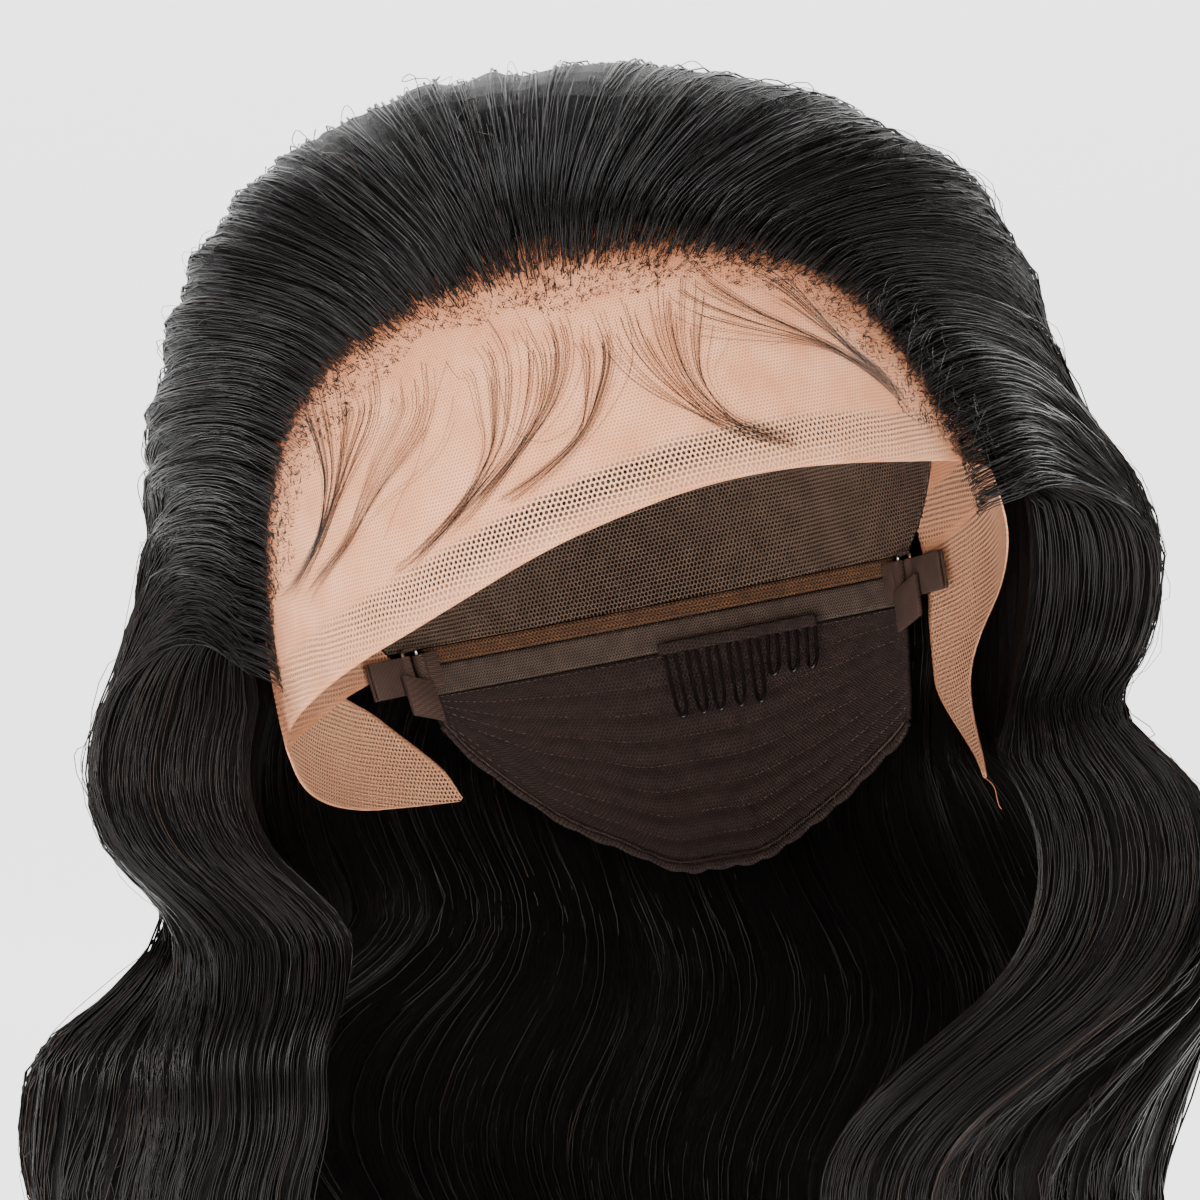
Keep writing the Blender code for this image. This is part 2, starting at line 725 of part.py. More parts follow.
def crown_station(share, step):
    """Outer and inner point of the hair on its way over the cap, step 0 at the root."""
    start = root_direction(share)
    end_point = fall_point(share, shoulder_height(share))
    end = form_direction(end_point)
    lift = SIDE_LIFT * abs(share) * start.angle(end)
    lifted = (start + end + Vector((0.0, 0.0, lift))).normalized()
    direction = between(between(start, lifted, step), between(lifted, end, step), step)
    lowered = (TAPE_WALL + CAP_TO_HAIR - LACE_WALL - ROOT_GAP) * (1.0 - smooth_step(step * ROOT_SEATING))
    surface = on_form(direction, cap_offset(direction) - lowered)
    ray = (surface - HEAD_CENTRE).normalized()
    inner = (surface - HEAD_CENTRE).length
    travelled = HEAD_HALF_LENGTH * start.angle(direction)
    outer = blend(inner + HAIR_ROOT, hair_reach(ray), smooth_step(travelled / HAIR_LIFT))
    outer = max(outer, inner + HAIR_ROOT)
    return HEAD_CENTRE + ray * outer, HEAD_CENTRE + ray * inner


def fall_station(share, height):
    outer = fall_point(share, height)
    axis = Vector((HEAD_CENTRE.x, 0.0, height))
    ray = outer - axis
    distance = ray.length
    ray.normalize()
    touch = form_exit(axis, ray, 0.0)
    if touch > 0:
        offset = cap_offset(form_direction(axis + ray * touch))
        touch = form_exit(axis, ray, offset)
    inner = max(touch, distance - HAIR_THICKNESS)
    inner = min(inner, distance - HAIR_ROOT)
    return outer, axis + ray * inner


def hair_stations(share):
    """Outer and inner points of one line of hair from root to tip."""
    stations = [crown_station(share, step / (CROWN_STATIONS - 1)) for step in range(CROWN_STATIONS)]
    top = shoulder_height(share)
    for step in range(1, FALL_STATIONS + 1):
        stations.append(fall_station(share, blend(top, -HAIR_LENGTH, step / FALL_STATIONS)))
    return stations


def lock_rings(first, last, index):
    """Rings of points of one lock between two shares of the hairline."""
    shares = [blend(first, last, column / (LOCK_OUTER_POINTS - 1)) for column in range(LOCK_OUTER_POINTS)]
    lines = [hair_stations(share) for share in shares]
    rings = []
    count = len(lines[0])
    for station in range(count):
        outers = [line[station][0].copy() for line in lines]
        inners = [lines[column][station][1].copy() for column in (0, 2, 4)]
        along = smooth_step(station / GROOVE_STATIONS)
        for column, line in enumerate(lines):
            share = column / (LOCK_OUTER_POINTS - 1)
            dip = LOCK_GROOVE * along * (2 * share - 1) ** 2
            inward = line[station][1] - line[station][0]
            outers[column] += inward / inward.length * min(dip, LOCK_SQUEEZE * inward.length)
        gap = LOCK_GAP if station > 1 else LOCK_ROOT_GAP
        for points, centre in ((outers, outers[2].copy()), (inners, inners[1].copy())):
            for end in (0, -1):
                towards = centre - points[end]
                points[end] = points[end] + towards.normalized() * min(gap / 2, LOCK_SQUEEZE * towards.length)
        rings.append(outers + inners[::-1])
    stagger = TIP_STAGGER * (0.5 + 0.5 * sin(TIP_TURN * index))
    for place, keep, lift in LOCK_TIP:
        ring = rings[place]
        centre = sum(ring, Vector()) / len(ring)
        rings[place] = [centre + (point - centre) * keep + Vector((0, 0, stagger * lift)) for point in ring]
    return rings


def split_wall(bm, corners, first):
    """Side wall as two triangles, cut the same way as the neighbouring lock's wall."""
    a, b, c, d = corners[first:] + corners[:first]
    bm.faces.new((a, b, c))
    bm.faces.new((a, c, d))


def hair_lock(name, first, last, index, finish):
    bm = bmesh.new()
    rings = [[bm.verts.new(point) for point in ring] for ring in lock_rings(first, last, index)]
    size = len(rings[0])
    for upper, lower in zip(rings, rings[1:]):
        for place in range(size):
            after = (place + 1) % size
            corners = (upper[place], upper[after], lower[after], lower[place])
            if place == LOCK_OUTER_POINTS - 1:
                split_wall(bm, corners, 0)
            elif place == size - 1:
                split_wall(bm, corners, 1)
            else:
                bm.faces.new(corners)
    bm.faces.new(rings[0])
    bm.faces.new(rings[-1][::-1])
    bmesh.ops.recalc_face_normals(bm, faces=bm.faces)
    mesh = bpy.data.meshes.new(name)
    bm.to_mesh(mesh)
    bm.free()
    mesh.shade_smooth()
    return new_object(name, mesh, finish)


def hair(finish):
    count = 2 * LOCKS_PER_SIDE
    for index in range(count):
        first = blend(-1.0, 1.0, index / count)
        last = blend(-1.0, 1.0, (index + 1) / count)
        hair_lock("hair_lock_%02d" % (index + 1), first, last, index, finish)


def build():
    clear_scene()
    lace = material("lace", (0.76, 0.50, 0.36), 0.75)
    net = material("brown_net", (0.13, 0.085, 0.06), 0.85)
    tape = material("orange_brown_tape", (0.16, 0.075, 0.045), 0.8)
    ribbon = material("ribbon", (0.10, 0.065, 0.05), 0.75)
    weft = material("weft_cloth", (0.035, 0.022, 0.018), 0.9)
    comb_black = material("black_wire", (0.012, 0.011, 0.011), 0.4, 0.6)
    silver = material("silver_wire", (0.62, 0.60, 0.57), 0.25, 1.0)
    strap_cloth = material("strap", (0.085, 0.045, 0.032), 0.7)
    dark_hair = material("dark_hair", (0.010, 0.008, 0.008), 0.4)
    lace_front(lace)
    crown_net(net)
    seam_band(tape)
    elastic_band(ribbon)
    weft_panel(weft)
    hem_binding(weft)
    comb(comb_black)
    for word, side in (("left", -1), ("right", 1)):
        folded_end(word + "_strap", side, True, STRAP_LENGTH, strap_cloth)
        folded_end(word + "_band_loop", side, False, BAND_TAIL, strap_cloth)
        ring_bar(word + "_ring", side, silver)
        strap_tab(word + "_strap_tab", side, strap_cloth)
    hair(dark_hair)


build()
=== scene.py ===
# Looks of a lace front wig with body-wave hair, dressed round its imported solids.
# Lengths are in metres. +Z is up and the face opening looks along -Y. Azimuths are in
# degrees from the face towards +X, and latitudes in degrees above the middle of the head.

from math import cos, pi, radians, sin, sqrt, tau

import bmesh
import bpy
import numpy as np
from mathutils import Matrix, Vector
from mathutils.kdtree import KDTree


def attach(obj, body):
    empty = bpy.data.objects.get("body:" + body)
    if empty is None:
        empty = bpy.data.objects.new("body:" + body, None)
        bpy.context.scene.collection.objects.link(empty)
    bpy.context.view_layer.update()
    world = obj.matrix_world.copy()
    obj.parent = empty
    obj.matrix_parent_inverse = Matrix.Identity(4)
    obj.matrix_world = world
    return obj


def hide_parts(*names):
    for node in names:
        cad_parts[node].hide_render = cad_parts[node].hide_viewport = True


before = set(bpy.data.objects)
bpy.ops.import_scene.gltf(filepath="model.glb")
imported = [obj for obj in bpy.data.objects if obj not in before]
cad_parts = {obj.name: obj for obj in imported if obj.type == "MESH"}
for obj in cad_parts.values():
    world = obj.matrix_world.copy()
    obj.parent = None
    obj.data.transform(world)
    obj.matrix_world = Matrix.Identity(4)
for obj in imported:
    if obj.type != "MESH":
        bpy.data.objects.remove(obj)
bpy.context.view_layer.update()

# The head form that the cap fits, and how it is tipped
HEAD_HALF_WIDTH = 0.0790
HEAD_HALF_LENGTH = 0.0975
CROWN_HEIGHT = 0.1050
NAPE_DEPTH = 0.1120
CAP_ROLL = radians(13.6)
ROLL = np.array([
    [cos(CAP_ROLL), 0.0, -sin(CAP_ROLL)],
    [0.0, 1.0, 0.0],
    [sin(CAP_ROLL), 0.0, cos(CAP_ROLL)],
])
HEAD_CENTRE = ROLL @ np.array([0.0, 0.0, -CROWN_HEIGHT])
HAIRLINE_RADIUS = 0.095
# Metres of flat cloth for each radian across and up, on the front and on the back
FRONT_SPREAD = (0.085, 0.100)
BACK_SPREAD = (0.090, 0.100)
# Lengths over which the patterns of the bands, the nape panel and its hem are laid
BAND_PATTERN = 0.137
PANEL_PATTERN = (0.14, 0.055)
HEM_PATTERN = 0.003

# Cap walls, as in the solids, and the thinner lace that is shown
LACE_WALL = 0.0010
LACE_SHOWN = 0.00035
NET_SHOWN = 0.0006
TAPE_WALL = 0.0012
PANEL_WALL = 0.0012
PIECE_GAP = 0.0003

# Lace and the back of the cap: angles on the head form
LACE_TOP_LATITUDE = 62.0
LACE_REAR_AZIMUTH = 126.0
LACE_REAR_LATITUDE = -5.0
LACE_CORNER = (-118.0, -7.5)
LACE_FLARE = 0.0080
TAB_COLUMNS = 5
BACK_TOP_LATITUDE = -6.0
BACK_TILT = 1.8
SEAM_BAND_HEIGHT = 0.0040
ELASTIC_BAND_HEIGHT = 0.0072
ELASTIC_TOP = SEAM_BAND_HEIGHT + PIECE_GAP
ELASTIC_BOTTOM = ELASTIC_TOP + ELASTIC_BAND_HEIGHT
BAND_END_AZIMUTH = 134.0
HEM_HEIGHT = 0.0026
HEM_SCALLOP = 0.0007
HEM_SCALLOPS = 15
WEFT_ROWS = 8
WEFT_RIDGE = 0.0006
STITCHES_IN_ROW = 74
BINDING_TURNS = 170
NET_END_CLEARANCE = 0.0066

# Comb and size adjusters
COMB_CENTRE_AZIMUTH = 167.5
COMB_LENGTH = 0.0480
COMB_WIRE = 0.0009
LONG_TOOTH = 0.0190
SHORT_TOOTH = 0.0125
TOOTH_COUNT = 8
LONG_TEETH = 5
# Each tooth: place across in quarter pitches, share of its length and of its bend inwards
TOOTH_SHAPE = (
    (-1.0, 0.00, 0.00),
    (-1.0, 0.35, 0.25),
    (-1.0, 0.72, 0.52),
    (-0.75, 0.88, 0.80),
    (-0.3, 0.96, 0.92),
    (0.3, 0.96, 0.92),
    (0.75, 0.88, 0.80),
    (1.0, 0.72, 0.52),
    (1.0, 0.35, 0.25),
    (1.0, 0.00, 0.00),
)
STRAP_HEIGHT = 0.0090
ROLL_RADIUS = 0.0016
RING_WIRE = 0.0010
RING_WIDTH = 0.0052
RING_MARGIN = 0.0013
ADJUSTER_AZIMUTH = 129.5
SEWN_EDGE_ANGLE = radians(35.0)

# Hair, as in the solids
HAIR_LENGTH = 0.4000
HAIR_CENTRE_X = 0.0196
HAIR_TOP = 0.0107
HAIR_HALF_WIDTH = 0.1200
HAIR_BACK = 0.1300
HAIR_FRONT = 0.0880
HAIR_THICKNESS = 0.0380
HAIR_ROOT = 0.0028
HAIR_LIFT = 0.0550
LOCK_COUNT = 16
LOCK_GROOVE = 0.0050
ROOT_GAP = 0.0010
ROOT_SEATING = 9.0
CAP_TO_HAIR = 0.0017
WAVE_LENGTH = 0.0900
WAVE_SWING = 0.0080
WAVE_TURN = 2.6
SHOULDER_DROP = 0.0700
SHOULDER_RISE = 0.0080
SIDE_FALL_AZIMUTH = 91.0
FALL_SPREAD = 0.9
FORWARD_TURN = 50.0
FORWARD_START = 0.1250
FORWARD_RUN = 0.1100
FORWARD_SPREAD = 1.5
SIDE_LIFT = 0.35
COMB_RUN = 0.0900
RIGHT_COMB_PULL = 1.25
TIP_STAGGER = 0.0240
TIP_TURN = 2.4
# Azimuth and latitude at which the lace stands furthest off the head
FLARE_PLACES = ((-88.0, -15.0), (90.0, -4.0))
FLARE_ROUND = 26.0
FLARE_UP = 22.0

# Free lower edge of the lace. Azimuth, latitude and flare as a share of LACE_FLARE.
LACE_RIM = (
    (-84.0, -12.0, 0.90),
    (-72.0, -9.8, 0.60),
    (-57.0, -7.4, 0.30),
    (-44.0, -5.4, 0.20),
    (-32.0, -3.6, 0.15),
    (-19.0, -1.2, 0.12),
    (-6.0, 1.4, 0.10),
    (7.0, 3.2, 0.10),
    (18.0, 4.1, 0.10),
    (30.5, 4.0, 0.12),
    (43.0, 3.1, 0.15),
    (55.0, 2.0, 0.20),
    (66.0, 1.2, 0.30),
    (76.0, 0.4, 0.45),
    (86.0, -1.0, 0.60),
)

# Ear tabs, root line first and tip last. Latitude and azimuth of the front edge, then of
# the rear edge, then the flare of each as a share of LACE_FLARE.
RIGHT_TAB = (
    (-1.0, 86.0, -7.5, 125.5, 0.60, 0.00),
    (-7.0, 89.0, -11.5, 125.5, 0.70, 0.00),
    (-12.5, 97.0, -16.0, 126.0, 0.50, 0.00),
    (-18.0, 108.0, -20.5, 126.0, 0.25, 0.05),
    (-23.5, 112.5, -25.0, 124.5, 0.15, 0.10),
    (-29.5, 109.5, -30.0, 116.5, 0.25, 0.20),
    (-36.0, 100.0, -36.0, 102.5, 0.50, 0.50),
)
LEFT_TAB = (
    (-12.0, -84.0, -8.5, -110.0, 0.90, 0.00),
    (-16.0, -87.0, -11.0, -116.0, 0.95, -0.05),
    (-19.0, -94.0, -14.0, -120.5, 0.80, -0.10),
    (-21.5, -104.0, -17.0, -124.5, 0.45, -0.15),
    (-23.0, -115.0, -20.5, -128.0, 0.15, -0.20),
    (-24.5, -129.0, -24.2, -129.8, -0.10, -0.12),
)

# Lower edge of the nape panel. Azimuth from the back centre, then latitude on each side.
HEM = (
    (0.0, -41.0, -41.0),
    (10.0, -40.0, -41.2),
    (20.0, -35.0, -38.5),
    (30.0, -29.5, -35.0),
    (38.0, -23.0, -31.5),
    (44.0, -17.5, -29.0),
    (47.0, -14.0, -27.5),
)

# Hairline. Share of the way from its middle to its end, azimuth and latitude.
HAIRLINE = (
    (0.00, 0.0, 37.0),
    (0.12, 13.0, 36.3),
    (0.25, 27.0, 34.6),
    (0.40, 42.0, 31.4),
    (0.54, 55.0, 26.8),
    (0.67, 64.0, 20.0),
    (0.80, 69.5, 11.5),
    (0.90, 72.0, 4.0),
    (1.00, 74.0, -5.0),
)

# Outside of the hair. Height as a share of HAIR_LENGTH, then the half width on the left and
# on the right as shares of HAIR_HALF_WIDTH, the back as a share of HAIR_BACK and the front
# as a share of HAIR_FRONT.
HAIR_OUTLINE = (
    (0.027, 0.02, 0.02, 0.02, 0.02),
    (0.020, 0.22, 0.21, 0.24, 0.24),
    (0.012, 0.33, 0.32, 0.38, 0.36),
    (0.002, 0.45, 0.45, 0.50, 0.47),
    (-0.013, 0.54, 0.55, 0.60, 0.57),
    (-0.039, 0.66, 0.68, 0.72, 0.70),
    (-0.063, 0.73, 0.75, 0.80, 0.78),
    (-0.089, 0.79, 0.81, 0.86, 0.84),
    (-0.129, 0.85, 0.88, 0.93, 0.92),
    (-0.171, 0.91, 0.94, 0.97, 0.97),
    (-0.211, 0.935, 1.02, 1.00, 1.00),
    (-0.245, 0.94, 1.055, 1.00, 1.00),
    (-0.277, 0.93, 1.055, 0.99, 0.98),
    (-0.312, 0.92, 1.02, 0.97, 0.96),
    (-0.340, 0.965, 0.96, 0.95, 0.95),
    (-0.383, 0.985, 1.10, 0.94, 0.93),
    (-0.420, 0.95, 1.17, 0.91, 0.90),
    (-0.465, 0.85, 1.20, 0.88, 0.88),
    (-0.497, 0.93, 1.19, 0.89, 0.90),
    (-0.534, 1.10, 1.14, 0.91, 0.93),
    (-0.577, 1.14, 1.09, 0.92, 0.94),
    (-0.618, 1.12, 1.06, 0.90, 0.92),
    (-0.680, 1.02, 1.12, 0.86, 0.88),
    (-0.760, 1.08, 1.04, 0.84, 0.86),
    (-0.850, 0.98, 1.02, 0.80, 0.82),
    (-0.930, 0.90, 0.92, 0.74, 0.76),
    (-1.010, 0.80, 0.82, 0.66, 0.68),
)

# Thin bunches of short hair on the lace: azimuth and latitude of each point from the root
BABY_HAIR = {
    "left_outer": (
        (-57.9, 33.7), (-49.0, 25.0), (-45.0, 18.0), (-46.0, 13.0),
        (-50.0, 8.5), (-58.0, 5.0), (-65.6, 3.7),
    ),
    "left_inner": ((-38.0, 29.0), (-35.0, 23.0), (-39.2, 17.3), (-44.0, 12.5), (-49.0, 8.8), (-55.0, 6.2)),
    "left_low": ((-24.0, 27.0), (-24.5, 20.0), (-32.8, 14.0), (-41.3, 8.1), (-49.0, 5.0), (-55.1, 2.7)),
    "middle_outer": (
        (-12.0, 30.0), (-9.0, 24.3), (-10.3, 17.1), (-13.0, 12.8),
        (-19.4, 8.1), (-27.8, 4.3), (-34.4, 2.4),
    ),
    "middle_inner": ((0.0, 30.0), (1.0, 23.7), (-1.9, 18.0), (-8.0, 13.1), (-15.8, 8.6), (-23.7, 5.4)),
    "middle_right": ((9.0, 29.0), (9.3, 22.2), (5.8, 16.6), (1.3, 12.5), (-6.0, 9.2), (-13.0, 7.0)),
    "right_low": (
        (15.0, 28.0), (14.9, 23.0), (16.4, 18.5), (19.4, 14.2),
        (23.0, 10.9), (28.7, 8.4), (36.0, 7.1),
    ),
    "right_middle": ((26.6, 30.0), (22.4, 22.5), (21.5, 16.5), (24.7, 11.3), (30.0, 8.4), (35.1, 6.7)),
    "right_upper": ((25.0, 30.0), (28.5, 26.5), (35.8, 22.2), (46.5, 17.6), (54.3, 13.2), (60.3, 8.6)),
    "right_top": ((38.0, 29.5), (43.5, 25.5), (47.8, 20.6), (52.0, 16.2), (57.6, 11.8), (60.7, 7.6)),
}
STRAY_HAIR = {
    "loop": ((-9.5, 22.0), (-8.9, 16.2), (-6.2, 13.9), (-2.9, 13.3), (1.4, 14.8), (5.0, 19.2), (6.9, 26.0)),
    "faint": ((-18.0, 26.0), (-22.0, 20.0), (-25.5, 14.5), (-29.6, 11.0), (-33.8, 7.0)),
}

# How finely the hair is worked out
LINE_COUNT = 481
CROWN_STEPS = 40
FALL_STEPS = 72
STATIONS = 131
NEAREST_HAIR = 0.063
FARTHEST_HAIR = 0.216
REACH_PASSES = 22
WIDTH_STATIONS = (10, 90)
BEND_STATIONS = 9.0
BEND_PASSES = 26
LINE_SHARES = np.linspace(-1.0, 1.0, LINE_COUNT)
# Deepest groove in the hair, as a share of its thickness
DEEPEST = 0.85


def smooth_step(share):
    share = np.clip(share, 0.0, 1.0)
    return share * share * (3.0 - 2.0 * share)


def blend(start, end, share):
    return start + (end - start) * share


def unit(vectors):
    return vectors / np.maximum(np.linalg.norm(vectors, axis=-1, keepdims=True), 1e-12)


def between_slopes(low, high, low_slope, high_slope, share):
    """Cubic curve from low to high, with slopes given over the whole span."""
    square = share * share
    cube = square * share
    return ((2 * cube - 3 * square + 1) * low + (cube - 2 * square + share) * low_slope
            + (3 * square - 2 * cube) * high + (cube - square) * high_slope)


def table_value(rows, key, column):
    """Smooth value of one column of a table at keys in its first column."""
    keys = np.array([row[0] for row in rows])
    values = np.array([row[column] for row in rows])
    if keys[0] > keys[-1]:
        keys, values = keys[::-1], values[::-1]
    steps = np.diff(values) / np.diff(keys)
    middle = (values[2:] - values[:-2]) / (keys[2:] - keys[:-2])
    slopes = np.concatenate([steps[:1], middle, steps[-1:]])
    key = np.asarray(key, float)
    low = np.clip(np.searchsorted(keys, key, side="right") - 1, 0, len(keys) - 2)
    span = keys[low + 1] - keys[low]
    share = np.clip((key - keys[low]) / span, 0.0, 1.0)
    return between_slopes(values[low], values[low + 1], slopes[low] * span, slopes[low + 1] * span, share)


def curve_through(points, share):
    """Smooth curve through rows of points, share 0 at the first and 1 at the last."""
    points = np.asarray(points, float)
    slopes = np.gradient(points, axis=0)
    place = np.clip(np.asarray(share, float), 0.0, 1.0) * (len(points) - 1)
    low = np.minimum(place.astype(int), len(points) - 2)
    part = (place - low)[..., None]
    return between_slopes(points[low], points[low + 1], slopes[low], slopes[low + 1], part)


# Head form


def bearing(azimuth, latitude):
    """Direction from the head's centre, before the cap is tipped."""
    azimuth, latitude = np.broadcast_arrays(np.radians(azimuth), np.radians(latitude))
    across = np.cos(latitude)
    return np.stack([np.sin(azimuth) * across, -np.cos(azimuth) * across, np.sin(latitude)], axis=-1)


def half_axes(is_crown, offset):
    tall = np.where(is_crown, CROWN_HEIGHT, NAPE_DEPTH) + offset
    wide = HEAD_HALF_WIDTH + offset + 0 * tall
    deep = HEAD_HALF_LENGTH + offset + 0 * tall
    return np.stack([wide, deep, tall], axis=-1)


def on_form(direction, offset=0.0):
    """Place on the head form, or offset metres outside it."""
    return HEAD_CENTRE + (direction * half_axes(direction[..., 2] > 0, offset)) @ ROLL.T


def form_direction(point):
    local = (point - HEAD_CENTRE) @ ROLL
    return unit(local / half_axes(local[..., 2] > 0, 0.0))


def angle_between(first, second):
    return np.arccos(np.clip(np.sum(first * second, axis=-1), -1.0, 1.0))


def between(start, end, share):
    """Direction on the arc from start to end."""
    share = np.asarray(share, float)[..., None]
    angle = np.maximum(angle_between(start, end), 1e-6)[..., None]
    return (start * np.sin((1 - share) * angle) + end * np.sin(share * angle)) / np.sin(angle)


def latitude_drop(length):
    return np.degrees(length / NAPE_DEPTH)


def azimuth_turn(length):
    return np.degrees(length / (0.5 * (HEAD_HALF_WIDTH + HEAD_HALF_LENGTH)))


def azimuth_of(direction):
    return np.degrees(np.arctan2(direction[..., 0], -direction[..., 1]))


def latitude_of(direction):
    return np.degrees(np.arcsin(np.clip(direction[..., 2], -1.0, 1.0)))


# Lines of hair


def hair_ellipse(height, right_side, back_side):
    """Half width and depth of the outside of the hair at a height."""
    share = height / HAIR_LENGTH
    across = np.where(right_side, table_value(HAIR_OUTLINE, share, 2), table_value(HAIR_OUTLINE, share, 1))
    depth = np.where(back_side, HAIR_BACK * table_value(HAIR_OUTLINE, share, 3),
                     HAIR_FRONT * table_value(HAIR_OUTLINE, share, 4))
    return HAIR_HALF_WIDTH * across, depth


def hair_reach(direction):
    """Distance from the head's centre to the outside of the hair."""
    near = np.full(direction.shape[:-1], NEAREST_HAIR)
    far = np.full(direction.shape[:-1], FARTHEST_HAIR)
    for _ in range(REACH_PASSES):
        middle = (near + far) / 2
        point = HEAD_CENTRE + direction * middle[..., None]
        x, y, z = point[..., 0], point[..., 1], point[..., 2]
        across, depth = hair_ellipse(z, x > HAIR_CENTRE_X, y > 0)
        inside = (z < HAIR_TOP) & (((x - HAIR_CENTRE_X) / across) ** 2 + (y / depth) ** 2 < 1.0)
        near = np.where(inside, middle, near)
        far = np.where(inside, far, middle)
    return near


def cap_offset(direction):
    """How far the underside of the hair stands off the head form."""
    azimuth, latitude = azimuth_of(direction), latitude_of(direction)
    flare = np.zeros_like(azimuth)
    for corner, low in FLARE_PLACES:
        away = ((azimuth - corner) / FLARE_ROUND) ** 2 + ((latitude - low) / FLARE_UP) ** 2
        flare = np.maximum(flare, np.exp(-away))
    return TAPE_WALL + CAP_TO_HAIR + LACE_FLARE * flare


def root_direction(share):
    share = np.asarray(share, float)
    azimuth = np.sign(share) * table_value(HAIRLINE, np.abs(share), 1)
    return bearing(azimuth, table_value(HAIRLINE, np.abs(share), 2))


def fall_azimuth(share, height):
    """Azimuth at which the hair of a root hangs, which comes forward below the neck."""
    side = np.where(share > 0, 1.0, -1.0)
    base = 180.0 - (180.0 - SIDE_FALL_AZIMUTH) * np.abs(share) ** FALL_SPREAD
    drop = smooth_step((-height - FORWARD_START) / FORWARD_RUN)
    forward = FORWARD_TURN * np.abs(share) ** FORWARD_SPREAD * drop
    swing = WAVE_SWING / HAIR_HALF_WIDTH * smooth_step((-height - SHOULDER_DROP) / WAVE_LENGTH)
    wave = np.degrees(swing) * np.sin(tau * height / WAVE_LENGTH + WAVE_TURN * share)
    return side * (base - forward) + wave


def fall_point(share, height):
    azimuth = np.radians(fall_azimuth(share, height))
    across, depth = hair_ellipse(height, np.sin(azimuth) > 0, np.cos(azimuth) < 0)
    x, y = HAIR_CENTRE_X + across * np.sin(azimuth), -depth * np.cos(azimuth)
    return np.stack([x, y, height + 0 * azimuth], axis=-1)


def shoulder_height(share):
    """Height at which the hair of a root leaves the cap and hangs."""
    root = on_form(root_direction(share))[..., 2]
    return blend(-SHOULDER_DROP, root + SHOULDER_RISE, share ** 2)


def form_exit(origin, direction, offset):
    """Distance along a level ray to where it leaves the head form, or 0 if it misses."""
    best = np.zeros(origin.shape[:-1])
    for is_crown in (True, False):
        axes = half_axes(np.full(best.shape, is_crown), offset)
        start = ((origin - HEAD_CENTRE) @ ROLL) / axes
        way = (direction @ ROLL) / axes
        half = np.sum(start * way, axis=-1)
        square = np.sum(way * way, axis=-1)
        rest = half * half - square * (np.sum(start * start, axis=-1) - 1.0)
        distance = (-half + np.sqrt(np.maximum(rest, 0.0))) / square
        height = start[..., 2] + way[..., 2] * distance
        best = np.where((rest > 0) & ((height > 0) == is_crown), np.maximum(best, distance), best)
    return best


def crown_way(share):
    """Directions of the start, the lifted middle and the end of the hair's way over the cap."""
    start = root_direction(share)
    end = form_direction(fall_point(share, shoulder_height(share)))
    rise = np.zeros_like(start)
    rise[..., 2] = SIDE_LIFT * np.abs(share) * angle_between(start, end)
    return start, unit(start + end + rise), end


def crown_places(share, step):
    """Outer and inner places of the hair on its way over the cap, step 0 at the root."""
    start, lifted, end = crown_way(share)
    direction = between(between(start, lifted, step), between(lifted, end, step), step)
    lowered = (TAPE_WALL + CAP_TO_HAIR - LACE_WALL - ROOT_GAP) * (1.0 - smooth_step(step * ROOT_SEATING))
    surface = on_form(direction, cap_offset(direction) - lowered)
    ray = unit(surface - HEAD_CENTRE)
    inner = np.linalg.norm(surface - HEAD_CENTRE, axis=-1)
    travelled = HEAD_HALF_LENGTH * angle_between(start, direction)
    outer = blend(inner + HAIR_ROOT, hair_reach(ray), smooth_step(travelled / HAIR_LIFT))
    outer = np.maximum(outer, inner + HAIR_ROOT)
    return HEAD_CENTRE + ray * outer[..., None], HEAD_CENTRE + ray * inner[..., None]


def fall_places(share, height):
    """Outer and inner places of the hanging hair."""
    outer = fall_point(share, height)
    axis = np.stack([np.full_like(height, HEAD_CENTRE[0]), np.zeros_like(height), height], axis=-1)
    ray = outer - axis
    distance = np.linalg.norm(ray, axis=-1)
    ray = unit(ray)
    touch = form_exit(axis, ray, np.zeros_like(distance))
    offset = cap_offset(form_direction(axis + ray * touch[..., None]))
    touch = np.where(touch > 0, form_exit(axis, ray, offset), 0.0)
    inner = np.minimum(np.maximum(touch, distance - HAIR_THICKNESS), distance - HAIR_ROOT)
    return outer, axis + ray * inner[..., None]


